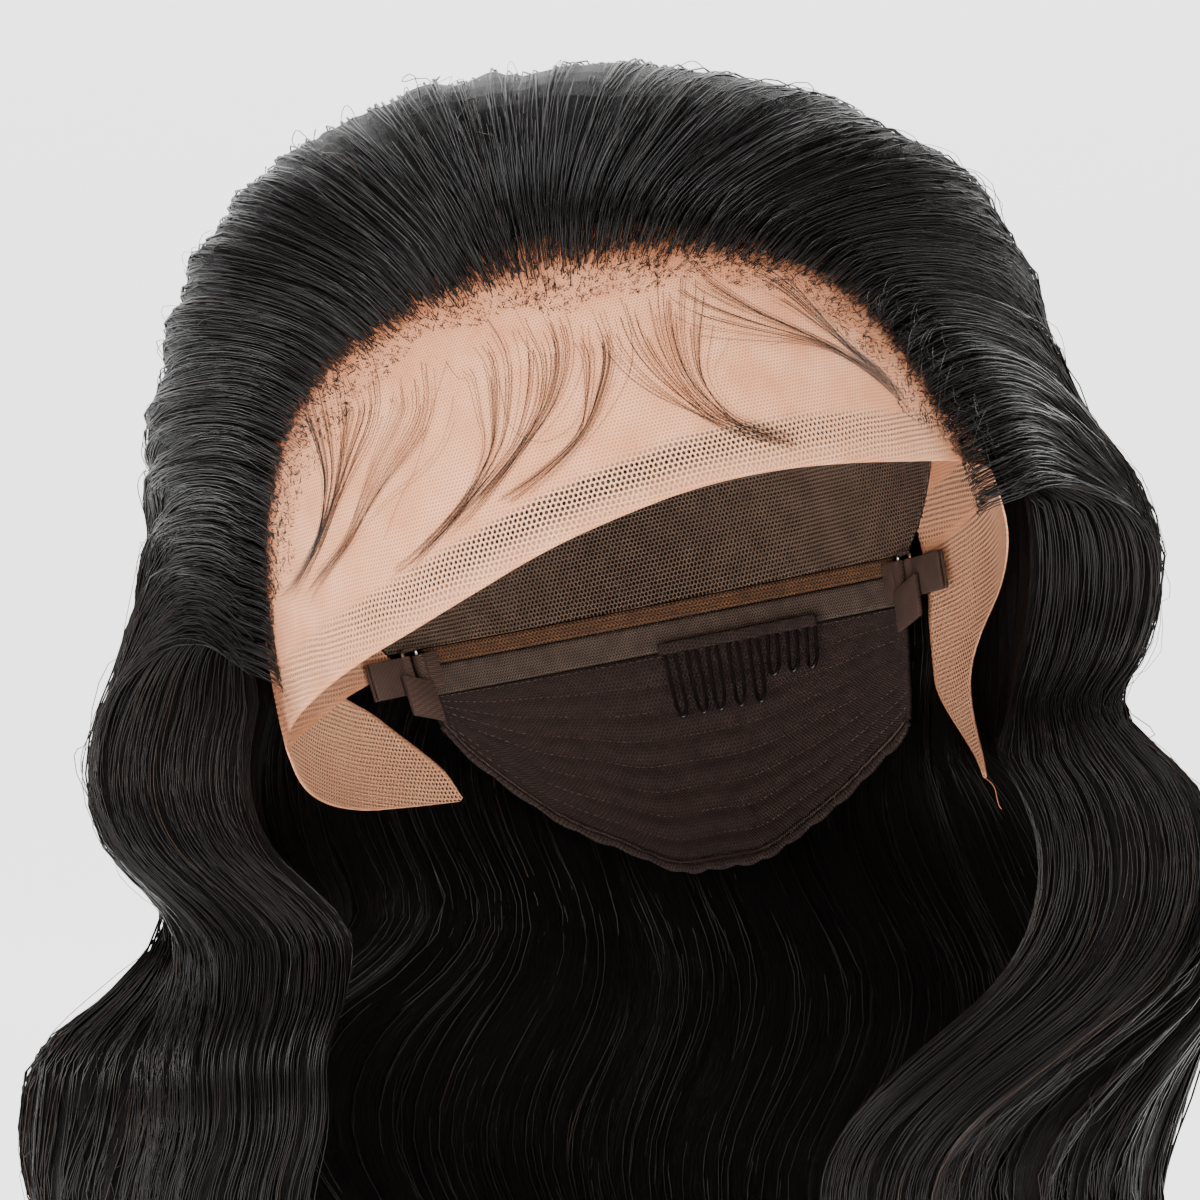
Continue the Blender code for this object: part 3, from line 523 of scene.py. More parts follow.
def hair_lines():
    """Outer and inner places of every line of hair, evenly spaced from root to tip, and lengths."""
    share = LINE_SHARES[:, None]
    step = np.linspace(0.0, 1.0, CROWN_STEPS + 1)[None, :]
    crown_outer, crown_inner = crown_places(share + 0 * step, step + 0 * share)
    down = np.linspace(0.0, 1.0, FALL_STEPS + 1)[None, 1:]
    height = blend(shoulder_height(share), -HAIR_LENGTH, down)
    fall_outer, fall_inner = fall_places(share + 0 * down, height)
    outer = np.concatenate([crown_outer, fall_outer], axis=1)
    inner = np.concatenate([crown_inner, fall_inner], axis=1)
    run = np.cumsum(np.linalg.norm(np.diff(outer, axis=1), axis=-1), axis=1)
    run = np.concatenate([np.zeros((LINE_COUNT, 1)), run], axis=1)
    even = np.linspace(0.0, 1.0, STATIONS)
    outer_even = np.empty((LINE_COUNT, STATIONS, 3))
    inner_even = np.empty((LINE_COUNT, STATIONS, 3))
    for line in range(LINE_COUNT):
        way = run[line] / run[line, -1]
        for axis in range(3):
            outer_even[line, :, axis] = np.interp(even, way, outer[line, :, axis])
            inner_even[line, :, axis] = np.interp(even, way, inner[line, :, axis])
    bend = run[:, CROWN_STEPS] / run[:, -1] * (STATIONS - 1)
    near = np.exp(-((np.arange(STATIONS)[None, :] - bend[:, None]) / BEND_STATIONS) ** 2)[..., None]
    for _ in range(BEND_PASSES):
        eased = outer_even.copy()
        eased[:, 1:-1] = (outer_even[:, :-2] + 2.0 * outer_even[:, 1:-1] + outer_even[:, 2:]) / 4
        outer_even = blend(outer_even, eased, near)
    return outer_even, inner_even, run[:, -1]


OUTER_LINES, INNER_LINES, LINE_LENGTHS = hair_lines()


def line_length(share):
    return np.interp(share, LINE_SHARES, LINE_LENGTHS)


def line_widths():
    """Place of each line across the hair in metres, halfway between its root and its fall."""
    steps = [np.diff(OUTER_LINES[:, station], axis=0) for station in WIDTH_STATIONS]
    gaps = [np.linalg.norm(step, axis=-1) for step in steps]
    widths = np.concatenate([[0.0], np.cumsum(sum(gaps) / len(gaps))])
    return widths - widths[LINE_COUNT // 2]


LINE_WIDTHS = line_widths()


def across_of(share):
    return np.interp(share, LINE_SHARES, LINE_WIDTHS)


def share_at(across):
    return np.interp(across, LINE_WIDTHS, LINE_SHARES)


def spread_shares(draw, count):
    """Shares of the hairline that spread strands evenly over the hair."""
    even = (np.arange(count) + draw.uniform(0.0, 1.0, count)) / count
    return share_at(blend(LINE_WIDTHS[0], LINE_WIDTHS[-1], even))


def hair_pair(share, along):
    """Outer and inner places at shares of the hairline and shares of the way to the tip."""
    column = (np.clip(share, -1.0, 1.0) + 1.0) / 2 * (LINE_COUNT - 1)
    row = np.clip(along, 0.0, 1.0) * (STATIONS - 1)
    left = np.minimum(column.astype(int), LINE_COUNT - 2)
    above = np.minimum(row.astype(int), STATIONS - 2)
    across, down = (column - left)[..., None], (row - above)[..., None]
    found = []
    for lines in (OUTER_LINES, INNER_LINES):
        upper = blend(lines[left, above], lines[left + 1, above], across)
        lower = blend(lines[left, above + 1], lines[left + 1, above + 1], across)
        found.append(blend(upper, lower, down))
    return found


def soft_noise(across, along, pitch, run, seed):
    """Smooth noise from -1 to 1, drawn out along the hair."""
    table = np.random.default_rng(seed).uniform(-1.0, 1.0, (997, 61))
    x, y = across / pitch + 400.0, along / run + 7.0
    left, above = np.floor(x).astype(int), np.floor(y).astype(int)
    a, b = smooth_step(x - left), smooth_step(y - above)
    upper = blend(table[left % 997, above % 61], table[(left + 1) % 997, above % 61], a)
    lower = blend(table[left % 997, (above + 1) % 61], table[(left + 1) % 997, (above + 1) % 61], a)
    return blend(upper, lower, b)


def comb_turn(share, run):
    """How far the comb draws a line of hair towards the face, as a share of the hairline."""
    side = np.abs(share)
    pull = np.where(share > 0, RIGHT_COMB_PULL, 1.0) * side ** 1.5 * (1.0 - side)
    return np.sign(share) * pull * smooth_step(run / COMB_RUN)


def lock_edge(share):
    """0 in the middle of a lock and 1 at its edges."""
    place = (share + 1.0) / 2 * LOCK_COUNT
    return np.abs(2.0 * (place - np.floor(np.clip(place, 0.0, LOCK_COUNT - 1e-6))) - 1.0)


def clumps(across, run, pitch, length, seed):
    """Rounded clumps from 0 to 1, drawn out along the hair."""
    return 0.5 + 0.5 * soft_noise(across, run, pitch, length, seed)


def hair_drop(share, along):
    """How far the combed surface lies under the outside of the hair, in metres."""
    run = along * line_length(share)
    across = across_of(share - comb_turn(share, run))
    sway = 0.004 * soft_noise(across, run, 0.030, 0.060, 11)
    broad = clumps(across + sway, run, 0.013, 0.080, 12)
    middle = clumps(across + 1.5 * sway, run, 0.0048, 0.055, 13)
    fine = clumps(across + 2.0 * sway, run, 0.0016, 0.080, 14)
    shown = smooth_step(run / 0.040)
    fallen = smooth_step((run - 0.090) / 0.080)
    groove = LOCK_GROOVE * lock_edge(share) ** 2 * blend(0.10, 0.45, fallen) * shown
    broad = blend(0.0024, 0.0046, fallen) * broad ** 1.5
    middle = blend(0.0024, 0.0032, fallen) * middle
    return shown * (broad + middle + 0.0008 * fine) + groove


def inner_relief(share, along, room):
    """How far the inner face of the falls is combed into the hair, in metres."""
    run = along * line_length(share)
    across = across_of(share - comb_turn(share, run))
    sway = 0.005 * soft_noise(across, run, 0.030, 0.060, 15)
    broad = clumps(across + sway, run, 0.012, 0.090, 16)
    middle = clumps(across + 1.5 * sway, run, 0.0045, 0.060, 17)
    fallen = smooth_step((run - 0.120) / 0.060)
    return np.minimum(fallen * (0.0048 * broad ** 1.5 + 0.0020 * middle), 0.40 * room)


def hair_place(share, along, lift, inner_face=False):
    """Places on the combed surface, raised by lift, and the outward directions there."""
    outer, inner = hair_pair(share, along)
    outward = unit(outer - inner)
    room = np.linalg.norm(outer - inner, axis=-1)
    if inner_face:
        return inner + outward * (inner_relief(share, along, room) - lift)[..., None], -outward
    drop = np.minimum(hair_drop(share, along), DEEPEST * room)
    return outer + outward * (lift - drop)[..., None], outward


# Meshes


def in_scene(name, data):
    made = bpy.data.objects.new(name, data)
    bpy.context.scene.collection.objects.link(made)
    return made


def finished_mesh(name, bm):
    mesh = bpy.data.meshes.new(name)
    bm.to_mesh(mesh)
    bm.free()
    mesh.shade_smooth()
    return mesh


def add_object(name, mesh, finish, replaces=()):
    """Piece of the wig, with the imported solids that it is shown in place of."""
    made = in_scene(name, mesh)
    mesh.materials.clear()
    mesh.materials.append(finish)
    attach(made, "root")
    if replaces:
        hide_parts(*replaces)
    return made


def tube_mesh(name, paths, radius, outward, tone, sides=3, closed=False):
    """Joined mesh of many thin tubes. Paths are rows of points, radius and tone one for each."""
    count, length = paths.shape[:2]
    if closed:
        tangent = unit(np.roll(paths, -1, axis=1) - np.roll(paths, 1, axis=1))
    else:
        tangent = unit(np.gradient(paths, axis=1))
    side = unit(np.cross(tangent, outward))
    up = np.cross(side, tangent)
    angle = tau * (np.arange(sides) + 0.25) / sides
    ring = np.cos(angle)[:, None] * side[:, :, None, :] + np.sin(angle)[:, None] * up[:, :, None, :]
    points = paths[:, :, None, :] + radius[:, :, None, None] * ring
    rows = length if closed else length - 1
    tube, row, corner = np.meshgrid(np.arange(count), np.arange(rows), np.arange(sides), indexing="ij")
    below, after = (row + 1) % length, (corner + 1) % sides
    start = tube * length * sides
    quads = np.stack([start + row * sides + corner, start + below * sides + corner,
                      start + below * sides + after, start + row * sides + after], axis=-1).reshape(-1, 4)
    faces = [quads]
    if not closed:
        first = np.arange(count)[:, None] * length * sides
        faces.append(first + np.arange(sides)[None, :])
        faces.append(first + (length - 1) * sides + np.arange(sides)[None, ::-1])
    mesh = bpy.data.meshes.new(name)
    mesh.vertices.add(points.size // 3)
    mesh.vertices.foreach_set("co", points.astype(np.float32).ravel())
    totals = np.concatenate([np.full(len(part), part.shape[1]) for part in faces])
    corners = np.concatenate([part.ravel() for part in faces])
    mesh.loops.add(len(corners))
    mesh.loops.foreach_set("vertex_index", corners.astype(np.int32))
    mesh.polygons.add(len(totals))
    mesh.polygons.foreach_set("loop_start", np.concatenate([[0], np.cumsum(totals)[:-1]]).astype(np.int32))
    mesh.update(calc_edges=True)
    mesh.shade_smooth()
    tones = np.broadcast_to(tone[:, :, None], (count, length, sides)).astype(np.float32)
    mesh.attributes.new("tone", "FLOAT", "POINT").data.foreach_set("value", tones.ravel())
    return mesh


def shaped_grid(bm, columns, rows, place):
    """Grid whose points go where place says. Returns its vertices with their shares."""
    made = bmesh.ops.create_grid(bm, x_segments=columns, y_segments=rows, size=0.5)["verts"]
    flat = np.array([tuple(vert.co) for vert in made])
    across, up = np.clip(flat[:, 0] + 0.5, 0.0, 1.0), np.clip(flat[:, 1] + 0.5, 0.0, 1.0)
    for vert, point in zip(made, place(across, up)):
        vert.co = point
    return made, across, up


def write_layers(bm, made, uv, **values):
    """Puts a flat place and named values on the vertices of a grid."""
    pattern = bm.loops.layers.uv.verify()
    layers = {key: bm.verts.layers.float.get(key) or bm.verts.layers.float.new(key) for key in values}
    for key, layer in layers.items():
        for vert, value in zip(made, values[key]):
            vert[layer] = value
    flat = {vert: place for vert, place in zip(made, uv)}
    for vert in made:
        for loop in vert.link_loops:
            loop[pattern].uv = flat[vert]


def cloth_piece(name, bm, thickness, finish, replaces):
    """Cloth wall round a shaped sheet, which is its inner face."""
    bmesh.ops.remove_doubles(bm, verts=bm.verts, dist=0.00002)
    bmesh.ops.recalc_face_normals(bm, faces=bm.faces)
    centre = Vector(HEAD_CENTRE)
    if sum(face.normal.dot(face.calc_center_median() - centre) for face in bm.faces) < 0:
        bmesh.ops.reverse_faces(bm, faces=bm.faces)
    made = add_object(name, finished_mesh(name, bm), finish, replaces)
    wall = made.modifiers.new("thickness", "SOLIDIFY")
    wall.thickness = thickness
    wall.offset = 1.0
    wall.use_even_offset = False
    return made


# Materials


def node(tree, kind, inputs=None, **settings):
    """New shader node. An input is a value, or a socket to link."""
    made = tree.nodes.new(kind)
    for key, value in settings.items():
        setattr(made, key, value)
    for key, value in (inputs or {}).items():
        if isinstance(value, bpy.types.NodeSocket):
            tree.links.new(value, made.inputs[key])
        else:
            made.inputs[key].default_value = value
    return made


def number(tree, operation, first, second=0.0, third=0.0):
    return node(tree, "ShaderNodeMath", {0: first, 1: second, 2: third}, operation=operation).outputs[0]


def vector(tree, operation, first, second=(0.0, 0.0, 0.0)):
    made = node(tree, "ShaderNodeVectorMath", {0: first, 1: second}, operation=operation)
    return made.outputs["Value" if operation in ("LENGTH", "DOT_PRODUCT") else "Vector"]


def ranged(tree, value, low, high, to_low=0.0, to_high=1.0):
    return node(tree, "ShaderNodeMapRange", {0: value, 1: low, 2: high, 3: to_low, 4: to_high}).outputs[0]


def mixed(tree, share, first, second):
    made = node(tree, "ShaderNodeMix", {0: share, 6: first, 7: second}, data_type="RGBA")
    return made.outputs[2]


def noise(tree, place, scale, detail=2.0, roughness=0.5):
    inputs = {"Vector": place, "Scale": scale, "Detail": detail, "Roughness": roughness}
    return node(tree, "ShaderNodeTexNoise", inputs).outputs["Fac"]


def new_finish(name, roughness, metallic=0.0, specular=0.5):
    """New material, its node tree and its shader."""
    made = bpy.data.materials.new(name)
    made.use_nodes = True
    tree = made.node_tree
    shader = tree.nodes["Principled BSDF"]
    shader.inputs["Roughness"].default_value = roughness
    shader.inputs["Metallic"].default_value = metallic
    shader.inputs["Specular IOR Level"].default_value = specular
    return made, tree, shader


def tinted(hexa):
    """Linear colour of a six-figure colour."""
    parts = [int(hexa[place:place + 2], 16) / 255 for place in (0, 2, 4)]
    linear = [part / 12.92 if part <= 0.04045 else ((part + 0.055) / 1.055) ** 2.4 for part in parts]
    return (*linear, 1.0)


def bump(tree, shader, height, distance, strength=1.0):
    made = node(tree, "ShaderNodeBump", {"Height": height, "Distance": distance, "Strength": strength})
    tree.links.new(made.outputs["Normal"], shader.inputs["Normal"])


def net_threads(tree, place, pitch, hole):
    """1 on the threads of a net and 0 in its holes, which lie in staggered rows."""
    scaled = vector(tree, "MULTIPLY", place, (1 / pitch, 1 / (pitch * sqrt(3)), 0.0))
    found = []
    for shift in ((0.0, 0.0, 0.0), (0.5, 0.5, 0.0)):
        inside = vector(tree, "FRACTION", vector(tree, "ADD", scaled, shift))
        cell = vector(tree, "SUBTRACT", inside, (0.5, 0.5, 0.0))
        found.append(vector(tree, "LENGTH", vector(tree, "MULTIPLY", cell, (1.0, sqrt(3), 0.0))))
    nearest = number(tree, "MINIMUM", found[0], found[1])
    return ranged(tree, nearest, hole - 0.07, hole + 0.07)


def wandering_uv(tree, amount, scale):
    """The piece's own flat place with a little unevenness."""
    flat = node(tree, "ShaderNodeTexCoord").outputs["UV"]
    cloud = node(tree, "ShaderNodeTexNoise", {"Vector": flat, "Scale": scale, "Detail": 1.0})
    drift = vector(tree, "SUBTRACT", cloud.outputs["Color"], (0.5, 0.5, 0.5))
    drift = vector(tree, "MULTIPLY", drift, (amount, amount, 0.0))
    return vector(tree, "ADD", flat, drift)


def lace_finish():
    """Skin-toned net, open along the rim, and orange-brown along the hairline: partly the knotted band's
    tint, partly painted shade from the hair.
    """
    made, tree, shader = new_finish("skin_tone_lace", 0.85, specular=0.25)
    flat = wandering_uv(tree, 0.0010, 60.0)
    coarse = net_threads(tree, flat, 0.00120, 0.36)
    fine = net_threads(tree, flat, 0.00085, 0.33)
    opened = node(tree, "ShaderNodeAttribute", attribute_name="open").outputs["Fac"]
    dark = node(tree, "ShaderNodeAttribute", attribute_name="root_shade").outputs["Fac"]
    broad = noise(tree, flat, 90.0, 3.0)
    cloth = mixed(tree, ranged(tree, broad, 0.35, 0.65), tinted("cc8a62"), tinted("dca17b"))
    cloth = mixed(tree, ranged(tree, fine, 0.0, 1.0, 0.8, 0.0), cloth, tinted("a9684a"))
    cloth = mixed(tree, number(tree, "MULTIPLY", opened, 0.5), cloth, tinted("e2b08c"))
    # Orange-brown along the hairline: the knots' tint together with painted shade from the hair
    cloth = mixed(tree, dark, cloth, tinted("7a3f20"))
    tree.links.new(cloth, shader.inputs["Base Color"])
    holes = number(tree, "MULTIPLY", opened, number(tree, "SUBTRACT", 1.0, coarse))
    tree.links.new(number(tree, "SUBTRACT", 1.0, holes), shader.inputs["Alpha"])
    bump(tree, shader, fine, 0.00012, 0.8)
    return made


def net_finish():
    made, tree, shader = new_finish("brown_net", 0.8, specular=0.3)
    flat = wandering_uv(tree, 0.0006, 60.0)
    threads = net_threads(tree, flat, 0.00108, 0.36)
    tone = mixed(tree, noise(tree, flat, 160.0, 2.0), tinted("43342a"), tinted("6b5748"))
    tree.links.new(tone, shader.inputs["Base Color"])
    tree.links.new(ranged(tree, threads, 0.0, 1.0, 0.06, 1.0), shader.inputs["Alpha"])
    bump(tree, shader, threads, 0.00015)
    return made


def woven_finish(name, low, high, across, along, depth, roughness=0.8, mesh=0.0):
    """Cloth of crossing threads, with pitches across, along and of its small holes in metres."""
    made, tree, shader = new_finish(name, roughness, specular=0.3)
    flat = wandering_uv(tree, 0.0005, 120.0)
    split = node(tree, "ShaderNodeSeparateXYZ", {0: flat})
    warp = number(tree, "SINE", number(tree, "MULTIPLY", split.outputs[0], tau / across))
    fill = number(tree, "SINE", number(tree, "MULTIPLY", split.outputs[1], tau / along))
    weave = ranged(tree, number(tree, "MULTIPLY", warp, fill), -1.0, 1.0)
    wear = noise(tree, flat, 220.0, 3.0)
    tone = mixed(tree, number(tree, "MULTIPLY", weave, wear), tinted(low), tinted(high))
    if mesh:
        threads = net_threads(tree, flat, mesh, 0.30)
        tone = mixed(tree, ranged(tree, threads, 0.0, 1.0, 0.85, 0.0), tone, tinted("140e0b"))
    tree.links.new(tone, shader.inputs["Base Color"])
    bump(tree, shader, weave, depth)
    return made


def hair_finish(name, roughness, streaked):
    """Near-black hair, streaked along itself on the locks and toned hair by hair on strands."""
    made, tree, shader = new_finish(name, roughness, specular=0.13 if streaked else 0.26)
    shader.inputs["Specular Tint"].default_value = (1.0, 0.94, 0.90, 1.0)
    tone = node(tree, "ShaderNodeAttribute", attribute_name="tone").outputs["Fac"]
    ramp = node(tree, "ShaderNodeValToRGB")
    ramp.color_ramp.elements[0].color = tinted("060505")
    ramp.color_ramp.elements[1].position = 1.0
    ramp.color_ramp.elements[1].color = tinted("3a2a22")
    middle = ramp.color_ramp.elements.new(0.7)
    middle.color = tinted("14100f")
    if streaked:
        flat = node(tree, "ShaderNodeTexCoord").outputs["UV"]
        drawn = vector(tree, "MULTIPLY", flat, (1900.0, 40.0, 1.0))
        streak = noise(tree, drawn, 1.0, 3.0, 0.7)
        tone = ranged(tree, streak, 0.38, 0.72)
        bump(tree, shader, streak, 0.0018)
    tree.links.new(tone, ramp.inputs["Fac"])
    tree.links.new(ramp.outputs["Color"], shader.inputs["Base Color"])
    return made


# Cap


def front_flat(direction):
    """Flat place of a direction on the front of the cap, with even cells."""
    latitude = np.clip(latitude_of(direction), -60.0, 75.0)
    up = np.log(np.tan(np.radians(45.0 + latitude / 2)))
    return np.stack([np.radians(azimuth_of(direction)), up], axis=-1) * FRONT_SPREAD


def back_flat(direction):
    """Flat place of a direction on the back of the cap, measured from its middle."""
    side, front, up = direction[..., 0], direction[..., 1], direction[..., 2]
    angle = np.arccos(np.clip(front, -1.0, 1.0))
    turn = np.arctan2(up, side)
    return np.stack([angle * np.cos(turn), angle * np.sin(turn)], axis=-1) * BACK_SPREAD


def lace_rear(share, setback=0.0):
    """Rear edge of the lace, over the head from one ear to the other."""
    side = bearing(LACE_REAR_AZIMUTH, LACE_REAR_LATITUDE)
    top = bearing(0.0, LACE_TOP_LATITUDE)
    plane = unit(np.array([0.0, top[2] - side[2], side[1] - top[1]]))
    level = plane @ top + setback
    radius = sqrt(1.0 - level * level)
    reach = pi - np.arcsin(min(1.0, side[0] / radius))
    turn = blend(-reach, reach, np.asarray(share, float))[..., None]
    rise = np.array([0.0, -plane[2], plane[1]])
    return plane * level + rise * radius * np.cos(turn) + np.array([1.0, 0.0, 0.0]) * radius * np.sin(turn)


def tab_point(table, down, share):
    """Direction and flare on an ear tab, down 0 at its root and 1 at its tip."""
    row = curve_through(table, down)
    front, rear = bearing(row[..., 1], row[..., 0]), bearing(row[..., 3], row[..., 2])
    return between(front, rear, share), blend(row[..., 4], row[..., 5], share)


def lace_edge():
    """Lower edge of the lace without its tabs: directions and flares, left to right."""
    shares = np.linspace(0.0, 1.0, TAB_COLUMNS)
    left, left_flare = tab_point(LEFT_TAB, 0.0 * shares, shares[::-1])
    right, right_flare = tab_point(RIGHT_TAB, 0.0 * shares, shares)
    rim = np.array(LACE_RIM[1:-1])
    corner = bearing(-LACE_REAR_AZIMUTH + 1.0, LACE_REAR_LATITUDE - 1.5)
    directions = [[corner], [bearing(*LACE_CORNER)], left, bearing(rim[:, 0], rim[:, 1]), right]
    flares = [[0.0, 0.0], left_flare, rim[:, 2], right_flare]
    return np.concatenate(directions), np.concatenate(flares)


LACE_EDGE, LACE_EDGE_FLARE = lace_edge()
EDGE_SPANS = len(LACE_EDGE) - 1
EDGE_STEPS = 7
LACE_UP = 50
LACE_CROWDING = 1.3
TAB_DOWN = 28
OPEN_BAND = 0.0105


def lace_point(share, up):
    """Direction and flare on the lace, up 0 at its lower edge."""
    low = unit(curve_through(LACE_EDGE, share))
    flare = curve_through(LACE_EDGE_FLARE[:, None], share)[..., 0]
    direction = between(low, lace_rear(share), up)
    return direction, flare * (1.0 - up) ** 2


def lace_offsets():
    """Search tree of directions on the lace, and how far the lace stands off the form there."""
    share, up = np.meshgrid(np.linspace(0.0, 1.0, 145), np.linspace(0.0, 1.0, 41) ** LACE_CROWDING)
    direction, flare = lace_point(share.ravel(), up.ravel())
    tree = KDTree(len(direction))
    for place, point in enumerate(direction):
        tree.insert(point, place)
    tree.balance()
    return tree, LACE_FLARE * flare


LACE_TREE, LACE_OFFSETS = lace_offsets()


def lace_offset(direction):
    """How far the lace stands off the form, in metres, evened out over the nearest places."""
    flat = direction.reshape(-1, 3)
    found = np.empty(len(flat))
    for row, point in enumerate(flat):
        near = LACE_TREE.find_n(point, 4)
        weights = np.array([1.0 / (item[2] + 0.001) for item in near])
        found[row] = weights @ LACE_OFFSETS[[item[1] for item in near]] / weights.sum()
    return found.reshape(direction.shape[:-1])


def on_lace(direction, height=0.0):
    """Places on the outside of the lace, raised by height."""
    return on_form(direction, lace_offset(direction) + LACE_SHOWN + height)


def root_distance(direction):
    """Rough distance in metres from the hairline, negative on the bare side of the lace."""
    line = root_direction(np.linspace(-1.0, 1.0, 241))
    near = np.full(direction.shape[0], 9.0)
    sign = np.ones(direction.shape[0])
    for point, after in zip(line[:-1], line[1:]):
        away = np.linalg.norm(direction - point, axis=-1)
        closer = away < near
        outside = np.sum(np.cross(point, after) * direction, axis=-1) > 0
        sign = np.where(closer, np.where(outside, 1.0, -1.0), sign)
        near = np.minimum(near, away)
    return sign * near * HAIRLINE_RADIUS


def lace_front(finish):
    """Lace over the front of the head, with its two ear tabs."""
    bm = bmesh.new()
    bm.verts.layers.float.new("open")
    bm.verts.layers.float.new("root_shade")

    def main(share, up):
        direction, flare = lace_point(share, up ** LACE_CROWDING)
        return on_form(direction, flare * LACE_FLARE)

    made, share, up = shaped_grid(bm, EDGE_SPANS * EDGE_STEPS, LACE_UP, main)
    direction, _ = lace_point(share, up ** LACE_CROWDING)
    low, _ = lace_point(share, 0 * up)
    height = np.linalg.norm(on_form(direction) - on_form(low), axis=-1)
    open_share = 1.0 - smooth_step((height - OPEN_BAND) / 0.0018)
    rim = smooth_step((height - 0.0007) / 0.0008)
    rim = rim * blend(0.55, 1.0, smooth_step((height - 0.002) / 0.004))
    # Orange-brown band along the hairline: the knotted band's tint with painted shade from the hair, fading
    # further back under the hair
    gap = root_distance(direction)
    shade = 0.50 * smooth_step((gap + 0.020) / 0.020) + 0.32 * smooth_step((gap + 0.007) / 0.008)
    shade = shade * (1.0 - 0.85 * smooth_step((gap - 0.008) / 0.012))
    write_layers(bm, made, front_flat(direction), open=open_share * rim, root_shade=shade)
    for table, first in ((LEFT_TAB, 2), (RIGHT_TAB, EDGE_SPANS - TAB_COLUMNS + 1)):
        def tab_direction(across, down):
            share = (first + across * (TAB_COLUMNS - 1)) / EDGE_SPANS
            inner = across if table is RIGHT_TAB else 1.0 - across
            direction, flare = tab_point(table, down, inner)
            root, root_flare = lace_point(share, 0 * share)
            near = (1.0 - smooth_step(down / 0.10))[..., None]
            direction = unit(blend(direction, root, near))
            return direction, blend(flare, root_flare, near[..., 0])

        def tab_place(across, down):
            direction, flare = tab_direction(across, down)
            return on_form(direction, flare * LACE_FLARE)

        tab, across, down = shaped_grid(bm, (TAB_COLUMNS - 1) * EDGE_STEPS, TAB_DOWN, tab_place)
        edge = np.minimum(across, 1.0 - across) * (1.0 - 0.8 * down) * 0.055
        open_share = smooth_step((edge - 0.0006) / 0.0008) * smooth_step(down / 0.03)
        spread = tab_place(across, down)
        spread = spread - spread.reshape(-1, 3).mean(axis=0)
        axes = np.linalg.svd(spread.reshape(-1, 3), full_matrices=False)[2]
        flat = spread @ axes[:2].T
        write_layers(bm, tab, flat, open=open_share, root_shade=0 * across)
    made = cloth_piece("lace_cloth", bm, LACE_SHOWN, finish, ["lace_front"])
    return made


def tab_thread(finish):
    """Loose end of lace thread at the tip of the right ear tab."""
    direction, flare = tab_point(RIGHT_TAB, np.array(1.0), np.array(0.5))
    tip = on_form(direction, flare * LACE_FLARE)
    way = np.linspace(0.0, 1.0, 9)[:, None]
    fall = way * np.array([0.0045, -0.0010, -0.0068])
    curl = np.sin(5.0 * way) * np.array([0.0006, 0.0, 0.0004])
    path = (tip + fall + curl)[None]
    radius = np.full(path.shape[:2], 0.00013)
    outward = np.broadcast_to(np.array([0.0, -1.0, 0.2]), path.shape)
    mesh = tube_mesh("tab_thread", path, radius, outward, np.zeros(path.shape[:2]))
    return add_object("tab_thread", mesh, finish)


def back_latitude(azimuth):
    return BACK_TOP_LATITUDE - BACK_TILT * np.sin(np.radians(azimuth))


def crown_net():
    """Net over the crown, between the lace and the bands at the back."""
    bm = bmesh.new()
    gap = 2 * PIECE_GAP / HEAD_HALF_WIDTH
    end_azimuth = LACE_REAR_AZIMUTH + azimuth_turn(NET_END_CLEARANCE)

    def direction_at(share, up):
        azimuth = blend(-end_azimuth, end_azimuth - 360.0, share)
        low = bearing(azimuth, back_latitude(azimuth) + latitude_drop(PIECE_GAP))
        return between(low, lace_rear(share, gap), up)

    made, share, up = shaped_grid(bm, 90, 60, lambda share, up: on_form(direction_at(share, up)))
    write_layers(bm, made, back_flat(direction_at(share, up)))
    made = cloth_piece("crown_net_cloth", bm, NET_SHOWN, net_finish(), ["crown_net"])
    return made


def strip(name, top, bottom, finish):
    """Strip between two drops below the seam band's upper edge."""
    bm = bmesh.new()

    def direction_at(share, up):
        azimuth = blend(-BAND_END_AZIMUTH, BAND_END_AZIMUTH - 360.0, share)
        return bearing(azimuth, back_latitude(azimuth) - latitude_drop(blend(bottom, top, up)))

    made, share, up = shaped_grid(bm, 160, 6, lambda share, up: on_form(direction_at(share, up)))
    flat = np.stack([BAND_PATTERN * share, up * (bottom - top)], axis=-1)
    write_layers(bm, made, flat)
    return cloth_piece(name + "_cloth", bm, TAPE_WALL, finish, [name])


def hem_latitude(azimuth):
    from_back = azimuth + 180.0
    reach = np.minimum(np.abs(from_back), HEM[-1][0])
    return np.where(from_back > 0, table_value(HEM, reach, 1), table_value(HEM, reach, 2))


def panel_azimuth(share):
    return blend(-180.0 + HEM[-1][0], -180.0 - HEM[-1][0], share)


def panel_point(share, up):
    """Direction on the nape panel and its wefts' ridge, up 0 at the hem."""
    azimuth = panel_azimuth(share)
    top = back_latitude(azimuth) - latitude_drop(ELASTIC_BOTTOM + PIECE_GAP)
    low = hem_latitude(azimuth)
    ridge = WEFT_RIDGE * np.minimum(1.0, (top - low) / 30.0) ** 2 * np.sin(pi * up * WEFT_ROWS) ** 2
    return bearing(azimuth, blend(low, top, up)), ridge


def weft_panel(finish):
    """Nape panel with a ridge for each row of wefts."""
    bm = bmesh.new()

    def place(share, up):
        direction, ridge = panel_point(share, up)
        crease = 0.0004 * soft_noise(share * 0.12, up * 0.05, 0.006, 0.010, 21)
        return on_form(direction, -ridge + np.minimum(0.0, crease) * np.sin(pi * up))

    made, share, up = shaped_grid(bm, 80, 48, place)
    write_layers(bm, made, np.stack([share, up], axis=-1) * PANEL_PATTERN)
    made = cloth_piece("weft_panel_cloth", bm, PANEL_WALL, finish, ["weft_panel"])
    return made


